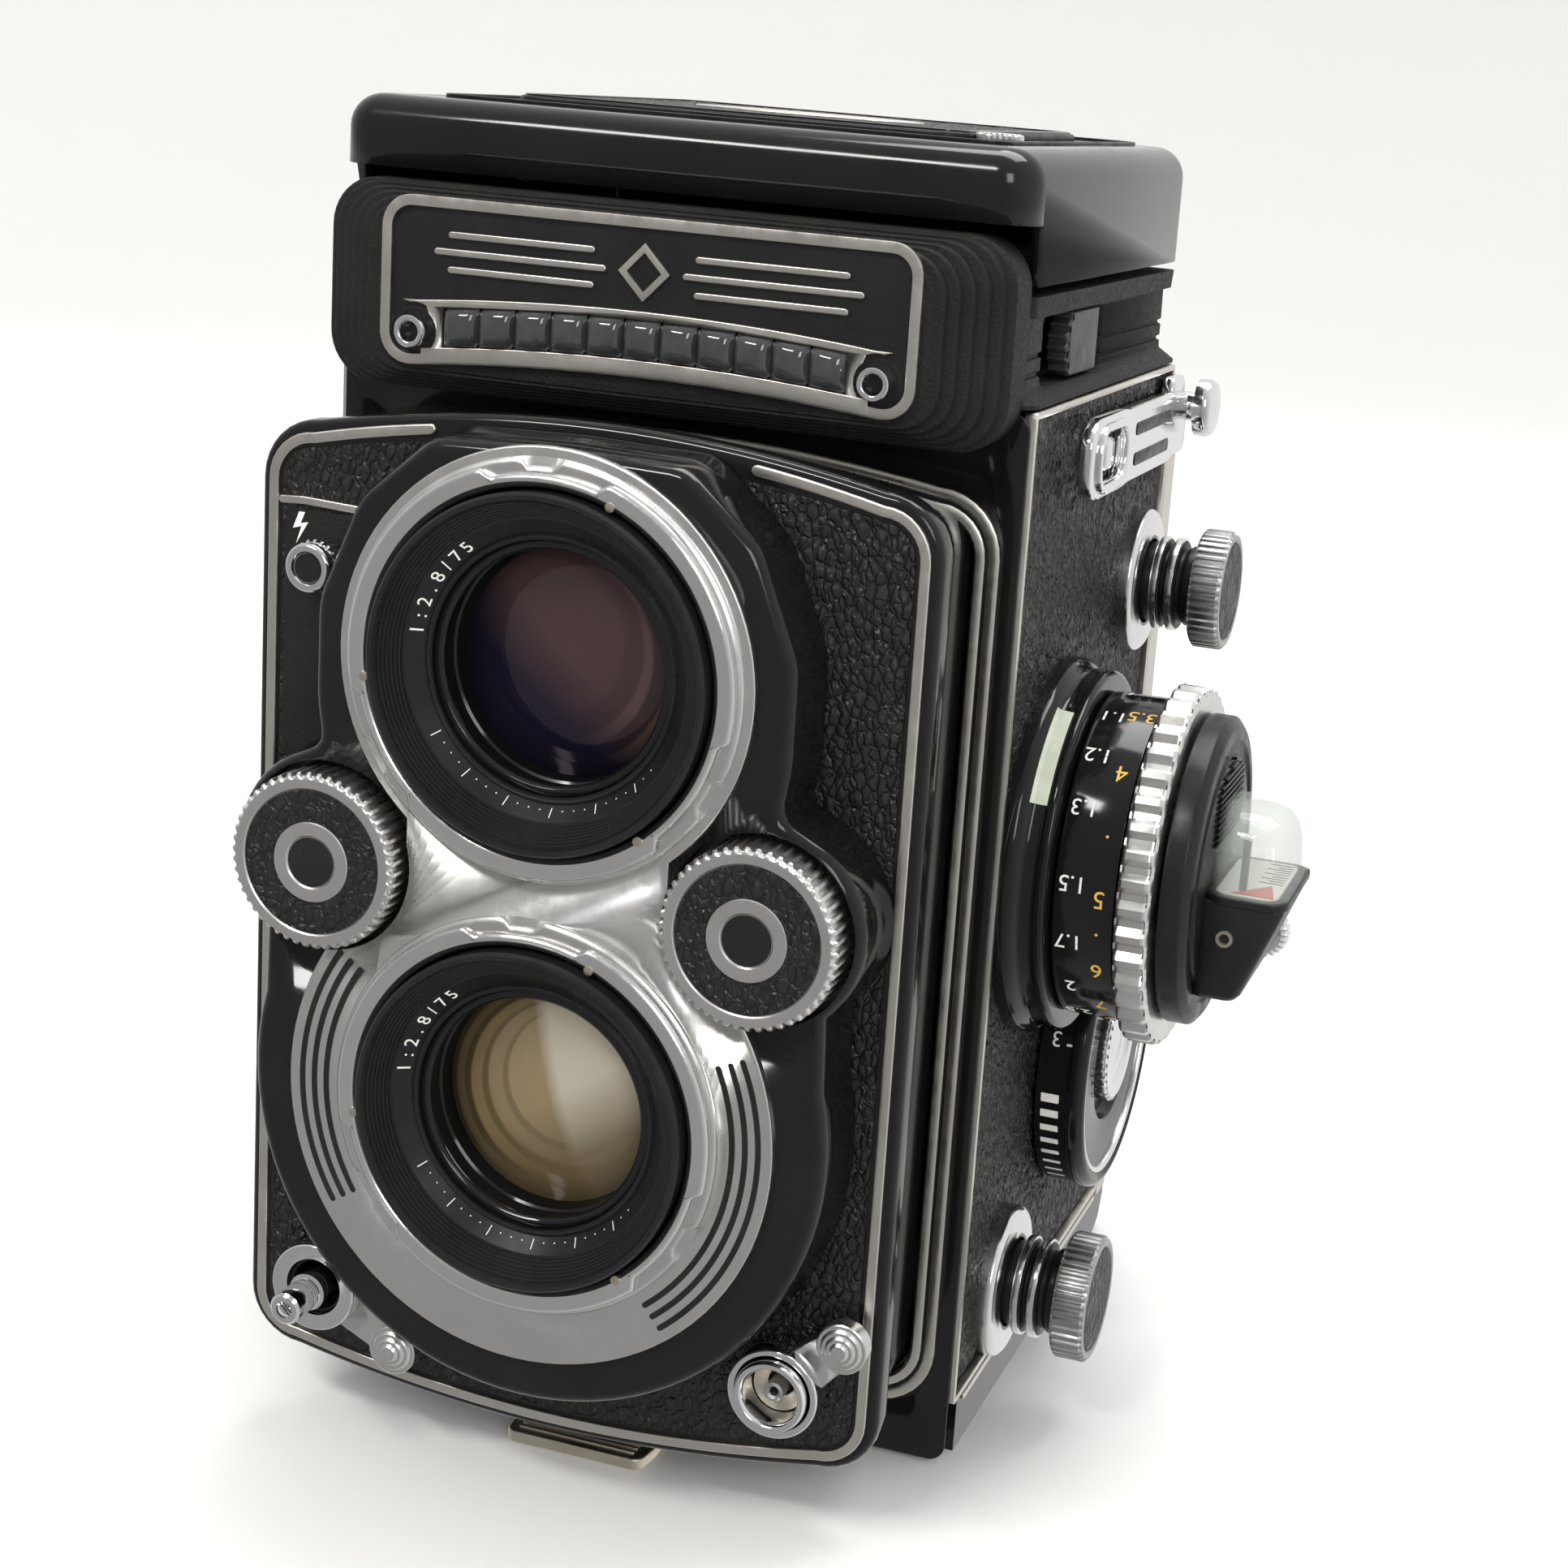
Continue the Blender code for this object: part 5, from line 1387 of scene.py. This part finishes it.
def back():
    door = dress("back_door", "lacquer", 0.35)
    low, high = span("back_door")
    rear = high.y
    recess = rounded_rect(low.x + 2.8, high.x - 2.8, 7.3, 112.7, 0.8, 3)
    tool = mesh_object("door_recess_tool", stepped(recess, "y", [(0, rear - 0.34), (0, rear + 3)]))
    tool.hide_render = True
    tool.hide_viewport = True
    tool.parent = door
    mod = door.modifiers.new("recess", "BOOLEAN")
    mod.object = tool
    sheet = leather_sheet("y", (low.x + 3.0, high.x - 3.0), (7.5, 112.5), rear - 0.36, 0.34)
    piece("back_leather_panel", sheet, "leather", "back_door", sharp=80)
    for sign in (-1, 1):
        face = sign * SIDE_X
        strip = slab(rounded_rect(65.2, 69.9, 6.0, 116.4, 0.8, 4), "x", face, face + sign * 0.4, 0.02, 0.15)
        piece(f"door_edge_strip_{'left' if sign < 0 else 'right'}", strip, "trim", "back_door")
        line = slab(rounded_rect(5.0, 64.4, 5.7, 6.5, 0.3, 3), "x", face, face + sign * 0.35, 0.02, 0.12)
        piece(f"door_foot_line_{'left' if sign < 0 else 'right'}", line, "trim", "back_door")
    knuckles = []
    for k in range(5):
        x = -26 + k * 10.5
        profile = [(0.01, x), (1.65, x), (1.65, x + 10.1), (0.01, x + 10.1)]
        knuckles.append(lathe(profile, (0.15, 3), "x", (67.2, 118.6), 32))
    piece("door_hinge_knuckles", merge(knuckles), "polished", "back_door")
    dress("pressure_plate", "satin_black", 0.25)
    dress("tripod_bush", "cast")
    seat = [(9.5, 0.02), (9.5, 0.35), (6.2, 0.35), (3.6, 0.1), (3.6, 0.02)]
    bm = lathe(seat, (0.05, 2), "z", (0.0, 36.0), 64, ring=True)
    piece("tripod_seat_ring", bm, "silver", "back_door")
    low, high = span("back_latch")
    tongue = [(low.x + 1.0, 2.0), (high.x - 1.0, 2.0), (high.x - 0.6, -7.0), (high.x, -12.5),
            (high.x - 0.4, low.y + 0.6)]
    tongue += [(high.x - 1.2, low.y), (low.x + 1.2, low.y), (low.x + 0.4, low.y + 0.6), (low.x, -12.5),
            (low.x + 0.6, -7.0)]
    bm = slab(soft_outline(tongue, 0.8, 3), "z", low.z, high.z - 0.25, 0.15, 0.3)
    piece("back_latch_tongue", bm, "brass", "back_latch", stands_for="back_latch")
    ridges = []
    for k in range(3):
        y = low.y + 1.0 + k * 0.9
        outline = rounded_rect(low.x + 1.6, high.x - 1.6, y, y + 0.45, 0.2, 2)
        ridges.append(slab(outline, "z", high.z - 0.35, high.z, 0.02, 0.12, 2))
    piece("back_latch_ridges", merge(ridges), "brass", "back_latch")


def spools():
    for label in ("takeup", "feed"):
        low, high = span(label + "_spool")
        c = (middle(label + "_spool").y, middle(label + "_spool").z)
        r = (high.y - low.y) / 2
        half = [(r - 0.1, 31.0), (r, 30.7), (r, 30.2), (r - 0.4, 30.0), (5.2, 29.9), (4.8, 29.4)]
        other = [(radius, -x) for radius, x in reversed(half)]
        bore = [(2.2, -31.0), (2.2, -27), (0.01, -27), (0.01, 27), (2.2, 27)]
        profile = [(2.2, 31.0), *half, *other, *bore]
        piece(label + "_spool_turned", turned(profile, "x", c, 64, ring=True), "spool", label + "_spool",
                stands_for=label + "_spool", sharp=28)


# ---------------------------------------------------------------- studio
def sky():
    """Pale above, below and behind the object, and dimmer in front, as in a room with one bright side."""
    world = bpy.data.worlds.new("studio")
    world.use_nodes = True
    nodes, links = world.node_tree.nodes, world.node_tree.links
    coords = nodes.new("ShaderNodeTexCoord")
    mapping = nodes.new("ShaderNodeVectorMath")
    mapping.operation = "DOT_PRODUCT"
    mapping.inputs[1].default_value = (0.35, 0.85, 0.25)
    links.new(coords.outputs["Generated"], mapping.inputs[0])
    ramp = nodes.new("ShaderNodeMapRange")
    ramp.interpolation_type = "SMOOTHSTEP"
    ramp.inputs["From Min"].default_value = -0.9
    ramp.inputs["From Max"].default_value = 0.7
    ramp.inputs["To Min"].default_value = 0.32
    ramp.inputs["To Max"].default_value = 0.85
    links.new(mapping.outputs["Value"], ramp.inputs["Value"])
    background = nodes["Background"]
    background.inputs["Color"].default_value = (1.0, 0.99, 0.98, 1)
    links.new(ramp.outputs["Result"], background.inputs["Strength"])
    bpy.context.scene.world = world


def studio():
    centre = ORIGIN + Vector((0, 20, 0)) * MM
    rings = []
    radius, corner, wall = 1.1, 0.7, 1.9
    profile = [(0.001, 0.0), (0.3, 0.0), (radius, 0.0)]
    for i in range(1, 13):
        t = math.pi / 2 * i / 12
        profile.append((radius + corner * math.sin(t), corner * (1 - math.cos(t))))
    profile.append((radius + corner, wall))
    turns = [2 * math.pi * k / 96 for k in range(96)]
    bm = bmesh.new()
    for r, z in profile:
        spots = [(centre.x + r * math.cos(a), centre.y + r * math.sin(a), z) for a in turns]
        rings.append([bm.verts.new(spot) for spot in spots])
    for low, high in zip(rings, rings[1:]):
        for k in range(len(turns)):
            bm.faces.new((low[k], low[k - len(turns) + 1], high[k - len(turns) + 1], high[k]))
    mesh = bpy.data.meshes.new("studio_floor")
    bm.to_mesh(mesh)
    bm.free()
    mesh.shade_smooth()
    floor = bpy.data.objects.new("studio_floor", mesh)
    bpy.context.scene.collection.objects.link(floor)
    paper = Finish("pale_backdrop", (0.88, 0.88, 0.87), 0.9)
    paper.vary_color(paper.noise(3, 2), (0.87, 0.87, 0.86), (0.89, 0.89, 0.88)).set(Specular_IOR_Level=0.1)
    mesh.materials.append(paper.mat)
    floor.visible_glossy = False
    sky()

    def lamp(name, place, target, size, power, color=(1, 1, 1)):
        data = bpy.data.lights.new(name, "AREA")
        data.shape = "RECTANGLE"
        data.size, data.size_y = size
        data.energy = power
        data.color = color
        obj = bpy.data.objects.new(name, data)
        bpy.context.scene.collection.objects.link(obj)
        obj.location = place
        obj.rotation_euler = (Vector(place) - Vector(target)).to_track_quat("Z", "Y").to_euler()
    aim = (0, 0, 0.07)
    lamp("key", (-0.35, -0.70, 0.95), aim, (0.55, 0.14), 6.5, (1.0, 0.99, 0.97))
    lamp("window", (0.55, -0.85, 0.55), aim, (0.30, 0.45), 2.6, (0.97, 0.98, 1.0))
    lamp("top", (0.1, 0.35, 1.2), aim, (0.9, 0.6), 12.0)


def camera():
    """The viewpoint in front, right of and above the camera body, slightly rolled."""
    data = bpy.data.cameras.new("view")
    cam = bpy.data.objects.new("view", data)
    bpy.context.scene.collection.objects.link(cam)
    place = Vector((108.515, -253.018, 151.852)) * MM + ORIGIN
    right = Vector((0.951281, 0.298367, 0.077721))
    up = Vector((-0.141868, 0.199767, 0.969519))
    behind = right.cross(up)
    turn = Matrix((right, up, behind)).transposed().to_4x4()
    cam.matrix_world = Matrix.Translation(place) @ turn
    data.sensor_width = 36
    data.lens = 59.08
    data.shift_x = -0.11316
    data.shift_y = -0.05651
    data.clip_start = 0.01
    bpy.context.scene.camera = cam


def build():
    body_shell()
    side_covering("side_leather_left", -1)
    side_covering("side_leather_right", 1)
    strap_lug("strap_lug_left", -1)
    strap_lug("strap_lug_right", 1)
    nameplate()
    hood_base()
    hood_release()
    hood_lid()
    finder_flap()
    hood_inside()
    lens_board()
    masks()
    for label, z, mat in (("viewing", VIEW_Z, "lens_violet"), ("taking", TAKE_Z, "lens_amber")):
        bayonet(label, z)
        rad, h = barrel(label, z, mat)
        ring_marks(label, z, rad, h)
    wheel("aperture_wheel", -1)
    wheel("shutter_wheel", 1)
    corner_controls()
    sync_selector()
    focus_flange()
    focus_knob()
    meter()
    film_speed_dial()
    spool_knob("upper")
    spool_knob("lower")
    crank()
    back()
    spools()


build()
studio()
camera()
bpy.context.scene.view_settings.view_transform = "Standard"

bpy.context.view_layer.update()
